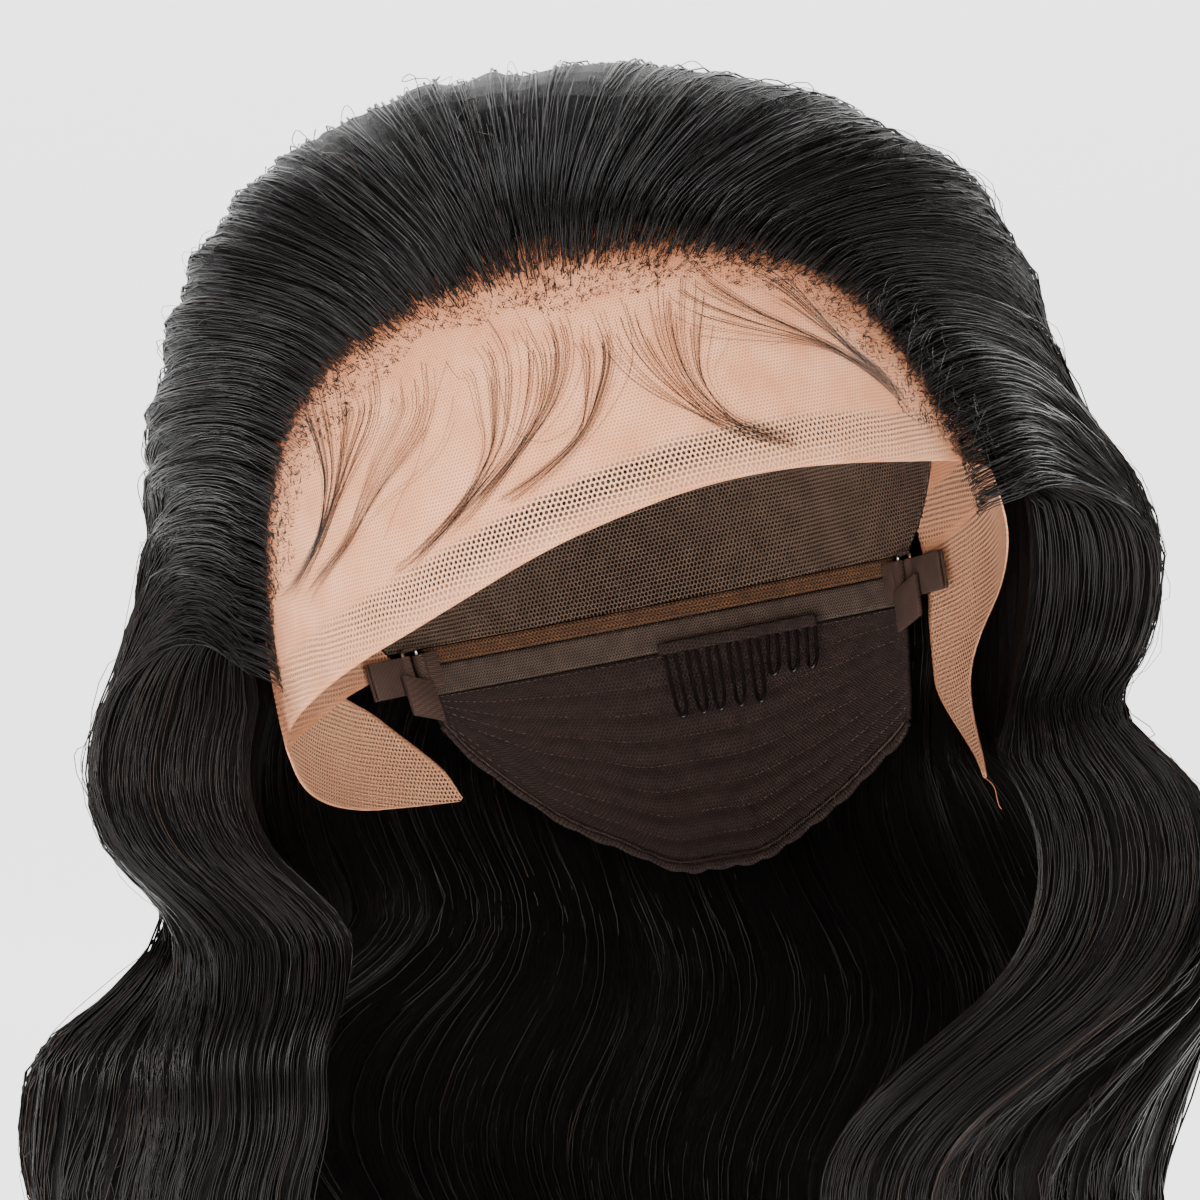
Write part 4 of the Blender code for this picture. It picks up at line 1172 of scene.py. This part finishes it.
def stitch_rows(finish):
    """Small stitches on the rows of wefts, and the thread wound over the hem."""
    draw = np.random.default_rng(41)
    paths = []
    for row in range(1, WEFT_ROWS + 1):
        for count in range(STITCHES_IN_ROW):
            share = (count + 0.5) / STITCHES_IN_ROW + draw.normal(0.0, 0.0012)
            half = 0.0042 * draw.uniform(0.6, 1.1)
            up = (row - 0.04 + 0.03 * sin(0.5 * count + row)) / WEFT_ROWS
            ends = np.clip(np.array([share - half, share, share + half]), 0.0, 1.0)
            direction, ridge = panel_point(ends, np.full(3, min(up, 0.985)))
            paths.append(on_form(direction, -ridge - np.array([0.0, 0.00016, 0.0])))
    for count in range(BINDING_TURNS):
        share = np.array([count, count + 0.55, count + 1.0]) / (BINDING_TURNS + 0.5)
        azimuth = panel_azimuth(share)
        above = np.array([0.0006, -0.0016, 0.0006]) * draw.uniform(0.8, 1.2)
        latitude = hem_latitude(azimuth) + latitude_drop(above)
        paths.append(on_form(bearing(azimuth, latitude), np.array([-0.0003, -0.0010, -0.0003])))
    points = np.array(paths)
    radius = np.full(points.shape[:2], 0.00011) * draw.uniform(0.7, 1.3, (len(paths), 1))
    outward = unit(points - HEAD_CENTRE)
    mesh = tube_mesh("weft_stitches", points, radius, outward, np.zeros(points.shape[:2]))
    return add_object("weft_stitches", mesh, finish)


def hem_binding(finish):
    """Rolled and slightly scalloped lower edge of the nape panel."""
    bm = bmesh.new()

    def place(share, up):
        azimuth = panel_azimuth(share)
        latitude = hem_latitude(azimuth) - latitude_drop(2 * PIECE_GAP)
        depth = HEM_HEIGHT + HEM_SCALLOP * np.abs(np.sin(pi * share * HEM_SCALLOPS))
        roll = 0.0005 * np.sin(pi * up)
        return on_form(bearing(azimuth, latitude - latitude_drop(depth * (1.0 - up))), -roll)

    made, share, up = shaped_grid(bm, 180, 6, place)
    write_layers(bm, made, np.stack([PANEL_PATTERN[0] * share, HEM_PATTERN * up], axis=-1))
    return cloth_piece("hem_cloth", bm, TAPE_WALL, finish, ["hem_binding"])


def wire_piece(name, path, sides, thickness, finish, replaces, closed=False):
    """One even wire along a path, shown in place of its solid."""
    path = np.asarray(path)[None]
    radius = np.full(path.shape[:2], thickness / 2)
    outward = unit(path - HEAD_CENTRE)
    mesh = tube_mesh(name, path, radius, outward, np.zeros(path.shape[:2]), sides, closed)
    return add_object(name, mesh, finish, replaces)


def even_rows(count, samples):
    """Shares of the way along each of many strands."""
    return np.broadcast_to(np.linspace(0.0, 1.0, samples)[None, :], (count, samples))


def comb_latitude(azimuth, drop):
    return back_latitude(azimuth) - latitude_drop(ELASTIC_BOTTOM + drop)


def comb_wire(finish):
    """One wire bent into the teeth of the comb."""
    pitch = azimuth_turn(COMB_LENGTH / TOOTH_COUNT)
    first = COMB_CENTRE_AZIMUTH + pitch * TOOTH_COUNT / 2
    inset = -(COMB_WIRE / 2 + PIECE_GAP + WEFT_RIDGE)
    points = []
    for tooth in range(TOOTH_COUNT):
        reach = LONG_TOOTH if tooth < LONG_TEETH else SHORT_TOOTH
        centre = first - pitch * (tooth + 0.5)
        lean = 0.25 * sin(2.1 * tooth)
        for sideways, share, inward in TOOTH_SHAPE:
            azimuth = centre - 0.25 * pitch * (sideways + lean * share)
            direction = bearing(azimuth, comb_latitude(centre, reach * share))
            points.append(on_form(direction, inset - inward * 3 * COMB_WIRE))
    path = curve_through(np.array(points), np.linspace(0.0, 1.0, 5 * len(points)))
    return wire_piece("comb_loops", path, 8, COMB_WIRE, finish, ["comb_wire"])


def local_frame(azimuth, latitude, offset):
    """Place on the head form, with the ways sideways and down there."""
    here = on_form(bearing(azimuth, latitude), offset)
    side = unit(on_form(bearing(azimuth + 0.5, latitude), offset) - here)
    down = unit(on_form(bearing(azimuth, latitude - 0.5), offset) - here)
    return here, side, down


def adjuster_ring(name, side, finish):
    """Ring with rounded corners, closed on itself."""
    azimuth = side * ADJUSTER_AZIMUTH
    latitude = back_latitude(azimuth) - latitude_drop(ELASTIC_BOTTOM / 2)
    here, sideways, down = local_frame(azimuth, latitude, -ROLL_RADIUS)
    half_width = RING_WIDTH / 2 - RING_WIRE
    half_height = STRAP_HEIGHT / 2 + RING_MARGIN - RING_WIRE
    path = []
    for across, along, start in ((1, 1, 0.0), (-1, 1, 90.0), (-1, -1, 180.0), (1, -1, 270.0)):
        for step in range(7):
            angle = radians(start + 15.0 * step)
            x = across * half_width + RING_WIRE * cos(angle)
            y = along * half_height + RING_WIRE * sin(angle)
            path.append(here + sideways * x + down * y)
    return wire_piece(name + "_wire", path, 10, RING_WIRE, finish, [name], closed=True)


def softened(name, width, finish):
    """Copy of a sewn solid with rounded edges."""
    bm = bmesh.new()
    bm.from_mesh(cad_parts[name].data)
    bmesh.ops.remove_doubles(bm, verts=bm.verts, dist=0.00001)
    bmesh.ops.dissolve_limit(bm, angle_limit=radians(4.0), verts=bm.verts, edges=bm.edges)
    paired = [edge for edge in bm.edges if len(edge.link_faces) == 2]
    sharp = [edge for edge in paired if edge.calc_face_angle() > SEWN_EDGE_ANGLE]
    bmesh.ops.bevel(bm, geom=sharp, affect="EDGES", offset=width, segments=2, profile=0.5, material=-1,
                    offset_type="OFFSET", clamp_overlap=True)
    pattern = bm.loops.layers.uv.verify()
    for face in bm.faces:
        for loop in face.loops:
            place = loop.vert.co
            loop[pattern].uv = (place.x - place.y, place.z)
    return add_object(name + "_sewn", finished_mesh(name + "_sewn", bm), finish, [name])


def cap():
    lace = lace_finish()
    lace_front(lace)
    tab_thread(lace)
    crown_net()
    seam = woven_finish("seam_tape", "38241a", "96663f", 0.0011, 0.0009, 0.0002, mesh=0.0010)
    strip("seam_band", 0.0, SEAM_BAND_HEIGHT, seam)
    ribbon = woven_finish("elastic_ribbon", "2e221c", "857061", 0.0008, 0.0008, 0.00015, mesh=0.0008)
    strip("elastic_band", ELASTIC_TOP, ELASTIC_BOTTOM, ribbon)
    weft = woven_finish("weft_cloth", "1d1411", "56413a", 0.0009, 0.0011, 0.0002, 0.9, mesh=0.0011)
    weft_panel(weft)
    hem_binding(weft)
    stitch_rows(woven_finish("stitching_thread", "4a3831", "7d6a60", 0.0006, 0.0006, 0.00005))
    black, _, shader = new_finish("black_wire", 0.32, 0.0, 0.6)
    shader.inputs["Base Color"].default_value = tinted("0d0c0c")
    comb_wire(black)
    softened("comb_bar", 0.0004, weft)
    silver, _, shader = new_finish("silver_wire", 0.22, 1.0)
    shader.inputs["Base Color"].default_value = (0.75, 0.73, 0.70, 1.0)
    strap = woven_finish("strap_cloth", "33231d", "604a3e", 0.0007, 0.0007, 0.00015)
    for word, side in (("left", -1), ("right", 1)):
        adjuster_ring(word + "_ring", side, silver)
        for part in ("_strap", "_band_loop", "_strap_tab"):
            softened(word + part, 0.00028, strap)


# Hair


OUTER_COLUMNS = 30
WALL_COLUMNS = 2
FRONT_WALL_COLUMNS = 14
INNER_COLUMNS = 14
LOCK_ROWS = 78
BODY_START = 0.0060
BODY_RISE = 0.020
TIP_NARROWING = 0.17
TIP_WIDTH = 0.06
WISP_PITCH = 0.0085
HAIRS_IN_BUNCH = 24


def front_relief(side, share, along, depth):
    """Way forward from a front edge of the hair, and how far its clumps stand out that way."""
    outer, inner = hair_pair(share, along)
    behind, _ = hair_pair(share - 0.03 * side, along)
    forward = unit(outer - behind)
    room = np.linalg.norm(outer - inner, axis=-1)
    across, run = depth * room, along * line_length(share)
    raised = 0.0013 * soft_noise(across, run, 0.0050, 0.050, 61)
    raised = raised + 0.0006 * soft_noise(across, run, 0.0019, 0.035, 62)
    held = smooth_step(np.minimum(depth, 1.0 - depth) / 0.12) * np.minimum(1.0, room / 0.010)
    return forward, raised * held


def hair_lock(index, finish):
    """Combed body of one lock: outer face, side walls and inner face in one closed skin."""
    first = blend(-1.0, 1.0, index / LOCK_COUNT)
    last = blend(-1.0, 1.0, (index + 1) / LOCK_COUNT)
    front_side = {0: -1.0, LOCK_COUNT - 1: 1.0}.get(index, 0.0)
    wall = FRONT_WALL_COLUMNS if front_side else WALL_COLUMNS
    columns = OUTER_COLUMNS + 2 * wall + INNER_COLUMNS
    corners = np.cumsum([0, OUTER_COLUMNS, wall, INNER_COLUMNS, wall]) / columns
    bm = bmesh.new()
    tip = TIP_STAGGER * (0.5 + 0.5 * sin(TIP_TURN * index))

    def place(turn, up):
        across = np.interp(turn, corners, [0.0, 1.0, 1.0, 0.0, 0.0])
        depth = np.interp(turn, corners, [1.0, 1.0, 0.0, 0.0, 1.0])
        share = blend(first, last, across)
        whole = line_length(share)
        along = blend(BODY_START, whole - tip, 1.0 - up) / whole
        outer, inner = hair_pair(share, along)
        outward = unit(outer - inner)
        room = np.linalg.norm(outer - inner, axis=-1)
        run = along * whole
        root_drop = DEEPEST * room * (1.0 - smooth_step((run - BODY_START) / BODY_RISE))
        drop = np.minimum(hair_drop(share, along) + root_drop, DEEPEST * room)
        shell = outer - outward * drop[..., None]
        core = inner + outward * inner_relief(share, along, room)[..., None]
        points = blend(core, shell, depth[..., None])
        if front_side:
            forward, raised = front_relief(front_side, share, along, depth)
            on_front = np.where(across == max(front_side, 0.0), 1.0, 0.0)
            points = points + forward * (raised * on_front)[..., None]
        narrowed = smooth_step(up / TIP_NARROWING) ** 0.7
        middle = sum(hair_pair(np.full_like(share, (first + last) / 2), along)) / 2
        return blend(middle, points, blend(TIP_WIDTH, 1.0, narrowed)[..., None])

    made, turn, up = shaped_grid(bm, columns, LOCK_ROWS, place)
    share = np.interp(turn, corners, [first, last, last, first, first])
    run = (1.0 - up) * line_length(share)
    flat = np.stack([across_of(share - comb_turn(share, run)) + 0.3 * turn, run], axis=-1)
    write_layers(bm, made, flat)
    bmesh.ops.remove_doubles(bm, verts=bm.verts, dist=0.000005)
    open_edges = [edge for edge in bm.edges if edge.is_boundary]
    bmesh.ops.holes_fill(bm, edges=open_edges, sides=0)
    bmesh.ops.recalc_face_normals(bm, faces=bm.faces)
    name = "hair_lock_%02d" % (index + 1)
    return add_object(name + "_combed", finished_mesh(name + "_combed", bm), finish, [name])


def gathered(share, along, pull):
    """Shares drawn towards the middle of their wisp, more at some places than at others."""
    across, run = across_of(share), along * line_length(share)
    uneven = 0.3 * soft_noise(across, run * 0, WISP_PITCH, 1.0, 31)
    middle = np.round(across / WISP_PITCH + uneven) * WISP_PITCH
    hold = pull * clumps(middle, run, WISP_PITCH, 0.050, 32)
    drift = 0.0022 * soft_noise(across, run, 0.020, 0.060, 33)
    drawn = share_at(across + (middle - across) * hold + drift)
    return np.clip(drawn + comb_turn(share, run), -1.0, 1.0)


def taper(count, samples, thick, tip=0.15):
    """Radii of strands, fine at both ends."""
    along = even_rows(count, samples)
    shape = np.minimum(1.0, np.minimum(along, 1.0 - along) / 0.12)
    return thick[:, None] * blend(tip, 1.0, smooth_step(shape))


def strand_tone(draw, count, samples):
    """One tone for each strand, most of them dark."""
    return np.repeat(np.clip(draw.beta(1.6, 3.2, (count, 1)), 0.0, 1.0), samples, axis=1)


def strands(name, points, radius, outward, tone, finish):
    return add_object(name, tube_mesh(name, points, radius, outward, tone), finish)


def each(values, samples):
    """One value for each strand, repeated along it."""
    return np.repeat(values[:, None], samples, axis=1)


def long_strands(name, count, samples, seed, finish):
    """Strands that run from near the hairline to the tips."""
    draw = np.random.default_rng(seed)
    share = spread_shares(draw, count)
    start, end = draw.uniform(0.004, 0.05, count), draw.uniform(0.90, 1.0, count)
    along = blend(start[:, None], end[:, None], even_rows(count, samples))
    share = gathered(each(share, samples), along, 0.75)
    high = draw.uniform(-0.0004, 0.0011, count)[:, None]
    own = each(draw.uniform(0, 9, count), samples)
    lift = high + 0.0006 * soft_noise(own, along, 0.1, 0.06, seed + 1)
    points, outward = hair_place(share, along, lift)
    radius = taper(count, samples, draw.uniform(0.00018, 0.00032, count))
    return strands(name, points, radius, outward, strand_tone(draw, count, samples), finish)


def short_strands(name, count, samples, seed, finish, inner_face=False):
    """Strands that come out of the hair for a few centimetres and go back into it."""
    draw = np.random.default_rng(seed)
    share = spread_shares(draw, count)
    reach = draw.uniform(0.05, 0.13, count) / line_length(share)
    start = draw.uniform(0.0, 0.97, count) * (1.0 - reach)
    if inner_face:
        start = blend(0.35, 0.97, draw.uniform(0.0, 1.0, count)) * (1.0 - reach)
    way = even_rows(count, samples)
    along = start[:, None] + reach[:, None] * way
    shares = gathered(each(share, samples), along, 0.5)
    astray = np.where(draw.uniform(0.0, 1.0, count) < 0.25, 0.022, 0.005)
    shares = np.clip(shares + (astray * draw.normal(0.0, 1.0, count))[:, None] * way, -1.0, 1.0)
    arch = draw.uniform(0.0002, 0.0017, count)[:, None]
    lift = -0.0006 + arch * np.sin(pi * way)
    points, outward = hair_place(shares, along, lift, inner_face)
    radius = taper(count, samples, draw.uniform(0.00015, 0.00028, count))
    return strands(name, points, radius, outward, strand_tone(draw, count, samples), finish)


def edge_strands(name, count, samples, seed, finish):
    """Strands along the two front edges of the hair, some of which stray from them."""
    draw = np.random.default_rng(seed)
    way = even_rows(count, samples)
    side = np.where(np.arange(count) % 2 == 0, -1.0, 1.0)[:, None]
    start = draw.uniform(0.01, 0.72, count)[:, None]
    along = start + draw.uniform(0.12, 0.26, count)[:, None] * way
    share = side + 0.0 * way
    outer, inner = hair_pair(share, along)
    depth = draw.uniform(0.03, 0.93, count)[:, None] + 0.04 * np.sin(3.0 * way)
    forward, raised = front_relief(side, share, along, depth)
    stray = draw.gamma(1.3, 0.0007, count)[:, None] * np.sin(pi * way)
    stray = stray + 0.0004 * soft_noise(depth, along, 0.15, 0.05, seed + 1) + 0.0002 + raised
    points = blend(inner, outer, depth[..., None]) + forward * stray[..., None]
    radius = taper(count, samples, draw.uniform(0.00014, 0.00026, count))
    return strands(name, points, radius, forward, strand_tone(draw, count, samples), finish)


def fly_aways(name, count, samples, seed, finish):
    """Loose hairs that leave the outline and curl back."""
    draw = np.random.default_rng(seed)
    share = spread_shares(draw, count)
    reach = draw.uniform(0.02, 0.07, count) / line_length(share)
    start = draw.uniform(0.05, 0.95, count) * (1.0 - reach)
    way = even_rows(count, samples)
    along = start[:, None] + reach[:, None] * way
    turn = draw.normal(0.0, 0.012, count)[:, None] * way ** 2
    size = draw.uniform(0.0, 0.0015, count)[:, None]
    curl = size * np.sin(tau * way * draw.uniform(0.8, 2.2, count)[:, None])
    root = each(share, samples)
    shares = root + comb_turn(root, along * line_length(root)) + turn + 6.0 * curl
    shares = np.clip(shares, -1.0, 1.0)
    high = draw.gamma(2.0, 0.0011, count)[:, None]
    lift = np.minimum(0.0075, -0.0004 + high * np.sin(pi * way ** 0.8)) + curl
    points, outward = hair_place(shares, along, lift)
    radius = taper(count, samples, draw.uniform(0.00007, 0.00013, count), 0.3)
    return strands(name, points, radius, outward, strand_tone(draw, count, samples) + 0.25, finish)


def root_line(share, distance):
    """Directions on the way back from the hairline. Distance is negative in front of it."""
    start, lifted, _ = crown_way(share)
    gap = np.maximum(angle_between(start, lifted), 0.05)
    return unit(between(start, lifted, distance / HAIRLINE_RADIUS / gap))


def hairline_strands(name, count, samples, seed, finish):
    """Rooted strands along the hairline, which rise from the lace into the combed hair."""
    draw = np.random.default_rng(seed)
    share = (np.arange(count) + draw.uniform(0.0, 1.0, count)) / count * 2.0 - 1.0
    back = 0.007 - 0.014 * draw.beta(1.6, 2.2, count)
    reach = draw.uniform(0.026, 0.060, count)
    way = even_rows(count, samples) ** 1.3
    distance = back[:, None] + reach[:, None] * way
    wander = draw.normal(0.0, 0.006, count)[:, None] * way
    root, behind = each(share, samples), np.maximum(distance, 0.0)
    shares = np.clip(root + wander + comb_turn(root, behind), -1.0, 1.0)
    ground = on_lace(root_line(shares, distance))
    high = draw.uniform(-0.0004, 0.0010, count)[:, None] + 0.0 * way
    top, outward = hair_place(shares, behind / line_length(shares), high)
    outward = np.where(distance[..., None] > 0, outward, unit(ground - HEAD_CENTRE))
    climb = draw.uniform(0.008, 0.013, count)[:, None]
    rise = smooth_step((distance - back[:, None]) / climb) ** 0.8
    points = blend(ground, top, rise[..., None])
    radius = taper(count, samples, draw.uniform(0.00009, 0.00019, count), 0.5)
    return strands(name, points, radius, outward, 0.6 * strand_tone(draw, count, samples), finish)


def knot_zone(share):
    """Depth of the band of knots in front of the hairline, in metres."""
    side = smooth_step((np.abs(share) - 0.25) / 0.35)
    ragged = 0.0020 * np.sin(9.0 * share) + 0.0015 * np.sin(31.0 * share)
    depth = blend(0.0150, 0.0220, side) + ragged
    return depth * (1.0 - 0.75 * smooth_step((np.abs(share) - 0.78) / 0.16))


def hairline_stubs(name, count, seed, finish):
    """Knots and short stubs in front of the hairline."""
    draw = np.random.default_rng(seed)
    share = draw.uniform(-1.0, 1.0, count)
    edge = knot_zone(share)
    far = draw.uniform(0.0, 1.0, count) ** 1.25
    distance = 0.002 - edge * far
    is_stub = draw.uniform(0.0, 1.0, count) > far * 1.3
    stub, knot = draw.uniform(0.0012, 0.0042, count), draw.uniform(0.0003, 0.0012, count)
    reach = np.where(is_stub, stub, knot)
    way = even_rows(count, 3)
    lean = draw.normal(0.0, 0.006, count)[:, None] * way
    places = distance[:, None] + reach[:, None] * way
    shares = np.clip(share[:, None] + lean, -1.0, 1.0)
    lift = 0.00012 + draw.uniform(0.05, 0.45, count)[:, None] * reach[:, None] * way ** 1.5
    points = on_lace(root_line(shares, places), lift)
    outward = unit(points - HEAD_CENTRE)
    radius = draw.uniform(0.00005, 0.00011, count)[:, None] * np.array([1.5, 0.9, 0.3])[None, :]
    radius = radius * blend(1.15, 0.75, far)[:, None]
    return strands(name, points, radius, outward, 0.3 + 0.5 * strand_tone(draw, count, 3), finish)


def baby_hairs(name, seed, finish):
    """Fine bunches that lie on the lace in front of the hairline."""
    draw = np.random.default_rng(seed)
    samples = 20
    paths, radii = [], []
    for route in BABY_HAIR.values():
        for _ in range(HAIRS_IN_BUNCH):
            spread = draw.normal(0.0, 1.0)
            way = np.linspace(draw.uniform(0.0, 0.22), draw.uniform(0.78, 1.0), samples)
            place = curve_through(np.array(route), way)
            turn = np.gradient(place, axis=0)
            normal = unit(np.stack([-turn[:, 1], turn[:, 0]], axis=-1))
            width = spread * (3.4 * (1.0 - smooth_step(way * 1.5)) + 0.30)
            width = width + 0.9 * sin(6 * spread) * way ** 2
            place = place + normal * width[:, None]
            paths.append(on_lace(bearing(place[:, 0], place[:, 1]), draw.uniform(0.0001, 0.0005)))
            radii.append(draw.uniform(0.000035, 0.00007) * np.linspace(1.0, 0.6, samples))
    for route in STRAY_HAIR.values():
        place = curve_through(np.array(route), np.linspace(0.0, 1.0, samples))
        paths.append(on_lace(bearing(place[:, 0], place[:, 1]), 0.0004))
        radii.append(np.full(samples, 0.00005))
    points = np.array(paths)
    tone = np.full(points.shape[:2], 0.35)
    return strands(name, points, np.array(radii), unit(points - HEAD_CENTRE), tone, finish)


def temple_curls(name, count, seed, finish):
    """Short springy hairs that curl at the right temple."""
    draw = np.random.default_rng(seed)
    samples = 12
    share = draw.uniform(0.66, 0.93, count)[:, None]
    way = even_rows(count, samples)
    reach = draw.uniform(0.009, 0.022, count)[:, None]
    turns = draw.uniform(0.5, 1.1, count)[:, None]
    turns = turns * draw.choice([-1.0, 1.0], count, p=[0.25, 0.75])[:, None]
    angle = tau * turns * way + draw.uniform(-0.5, 0.5, count)[:, None]
    size = reach / (2 * pi * np.abs(turns)) * 1.6
    distance = draw.uniform(-0.004, 0.004, count)[:, None] + size * np.sin(angle) + 0.35 * reach * way
    aside = size * (1.0 - np.cos(angle)) * np.sign(turns)
    base = on_lace(root_line(np.clip(share + 2.8 * aside, -1.0, 1.0), distance))
    outward = unit(base - HEAD_CENTRE)
    spring = draw.uniform(0.15, 0.45, count)[:, None] * reach
    high = 0.0002 + spring * np.sin(pi * way * 0.7)
    points = base + outward * high[..., None]
    radius = np.full(points.shape[:2], 0.00007) * np.linspace(1.0, 0.6, samples)
    return strands(name, points, radius, outward, np.full(points.shape[:2], 0.6), finish)


def hair():
    body = hair_finish("combed_hair", 0.40, True)
    strand = hair_finish("single_hairs", 0.36, False)
    for index in range(LOCK_COUNT):
        hair_lock(index, body)
    long_strands("hair_strands_long", 480, 34, 101, strand)
    for part in range(2):
        short_strands("hair_strands_%d" % (part + 1), 1400, 13, 111 + part, strand)
    short_strands("hair_strands_inside", 1200, 12, 121, strand, inner_face=True)
    fly_aways("fly_away_hairs", 700, 12, 131, strand)
    hairline_strands("hairline_strands", 2300, 8, 141, strand)
    edge_strands("edge_strands", 760, 18, 145, strand)
    hairline_stubs("hairline_stubs", 4600, 151, strand)
    baby_hairs("baby_hairs", 161, strand)
    temple_curls("temple_curls", 170, 171, strand)


# Room, lights and camera

CAMERA_AZIMUTH = radians(4.0)
CAMERA_DISTANCE = 1.300
CAMERA_TARGET = (0.0185, 0.0, -0.1126)
VIEW_WIDTH = 0.2700
SENSOR_WIDTH = 36.0
FLOOR_LEVEL = -0.440
FLOOR_HALF_WIDTH = 6.0
FLOOR_BACK = 3.6
WALL_ROUND = 1.4
WALL_TOP = 6.0
ROUND_STEPS = 12


def backdrop():
    """Pale floor that curves up into a wall."""
    bm = bmesh.new()
    profile = [(-FLOOR_HALF_WIDTH, 0.0), (FLOOR_BACK, 0.0)]
    for step in range(1, ROUND_STEPS + 1):
        angle = radians(90.0 * step / ROUND_STEPS)
        profile.append((FLOOR_BACK + WALL_ROUND * sin(angle), WALL_ROUND - WALL_ROUND * cos(angle)))
    profile.append((FLOOR_BACK + WALL_ROUND, WALL_TOP))
    verts = [bm.verts.new((-FLOOR_HALF_WIDTH, y, FLOOR_LEVEL + z)) for y, z in profile]
    edges = [bm.edges.new(pair) for pair in zip(verts, verts[1:])]
    swept = bmesh.ops.extrude_edge_only(bm, edges=edges)["geom"]
    moved = [item for item in swept if isinstance(item, bmesh.types.BMVert)]
    bmesh.ops.translate(bm, vec=(2 * FLOOR_HALF_WIDTH, 0.0, 0.0), verts=moved)
    mesh = finished_mesh("backdrop", bm)
    made = in_scene("backdrop", mesh)
    finish, _, shader = new_finish("pale_backdrop", 0.9, specular=0.1)
    shader.inputs["Base Color"].default_value = (0.92, 0.92, 0.92, 1.0)
    shader.inputs["Emission Color"].default_value = (1.0, 1.0, 1.0, 1.0)
    shader.inputs["Emission Strength"].default_value = 2.1
    mesh.materials.append(finish)


def soft_light(name, place, target, size, power, colour=(1.0, 1.0, 1.0)):
    lamp = bpy.data.lights.new(name, "AREA")
    lamp.shape = "DISK"
    lamp.size = size
    lamp.energy = power
    lamp.color = colour
    made = in_scene(name, lamp)
    made.location = place
    made.rotation_euler = (Vector(target) - Vector(place)).to_track_quat("-Z", "Y").to_euler()


def studio():
    """Backdrop, lights, pale air and the camera at the photograph's angle."""
    backdrop()
    soft_light("key_light", (-0.75, -1.25, 0.95), CAMERA_TARGET, 0.9, 52.0)
    soft_light("fill_light", (1.3, -1.1, 0.10), CAMERA_TARGET, 1.0, 15.0)
    soft_light("top_light", (-0.1, 0.15, 1.15), CAMERA_TARGET, 0.8, 16.0, (0.93, 0.96, 1.0))
    soft_light("front_light", (0.15, -1.7, -0.45), CAMERA_TARGET, 0.7, 20.0, (1.0, 0.97, 0.94))
    soft_light("rim_light", (0.9, 1.1, 0.5), CAMERA_TARGET, 0.6, 7.0)
    world = bpy.data.worlds.new("studio_air")
    bpy.context.scene.world = world
    world.use_nodes = True
    air = world.node_tree
    air.nodes["Background"].inputs["Color"].default_value = (1.0, 1.0, 1.0, 1.0)
    seen = node(air, "ShaderNodeLightPath").outputs["Is Camera Ray"]
    air.links.new(ranged(air, seen, 0.0, 1.0, 0.12, 2.2), air.nodes["Background"].inputs["Strength"])
    lens = bpy.data.cameras.new("camera")
    lens.sensor_width = SENSOR_WIDTH
    lens.lens = SENSOR_WIDTH * CAMERA_DISTANCE / VIEW_WIDTH
    lens.clip_start = 0.05
    lens.clip_end = 20.0
    camera = in_scene("camera", lens)
    back = Vector((sin(CAMERA_AZIMUTH), -cos(CAMERA_AZIMUTH), 0.0))
    camera.location = Vector(CAMERA_TARGET) + back * CAMERA_DISTANCE
    camera.rotation_euler = (-back).to_track_quat("-Z", "Y").to_euler()
    bpy.context.scene.camera = camera


cap()
hair()
studio()
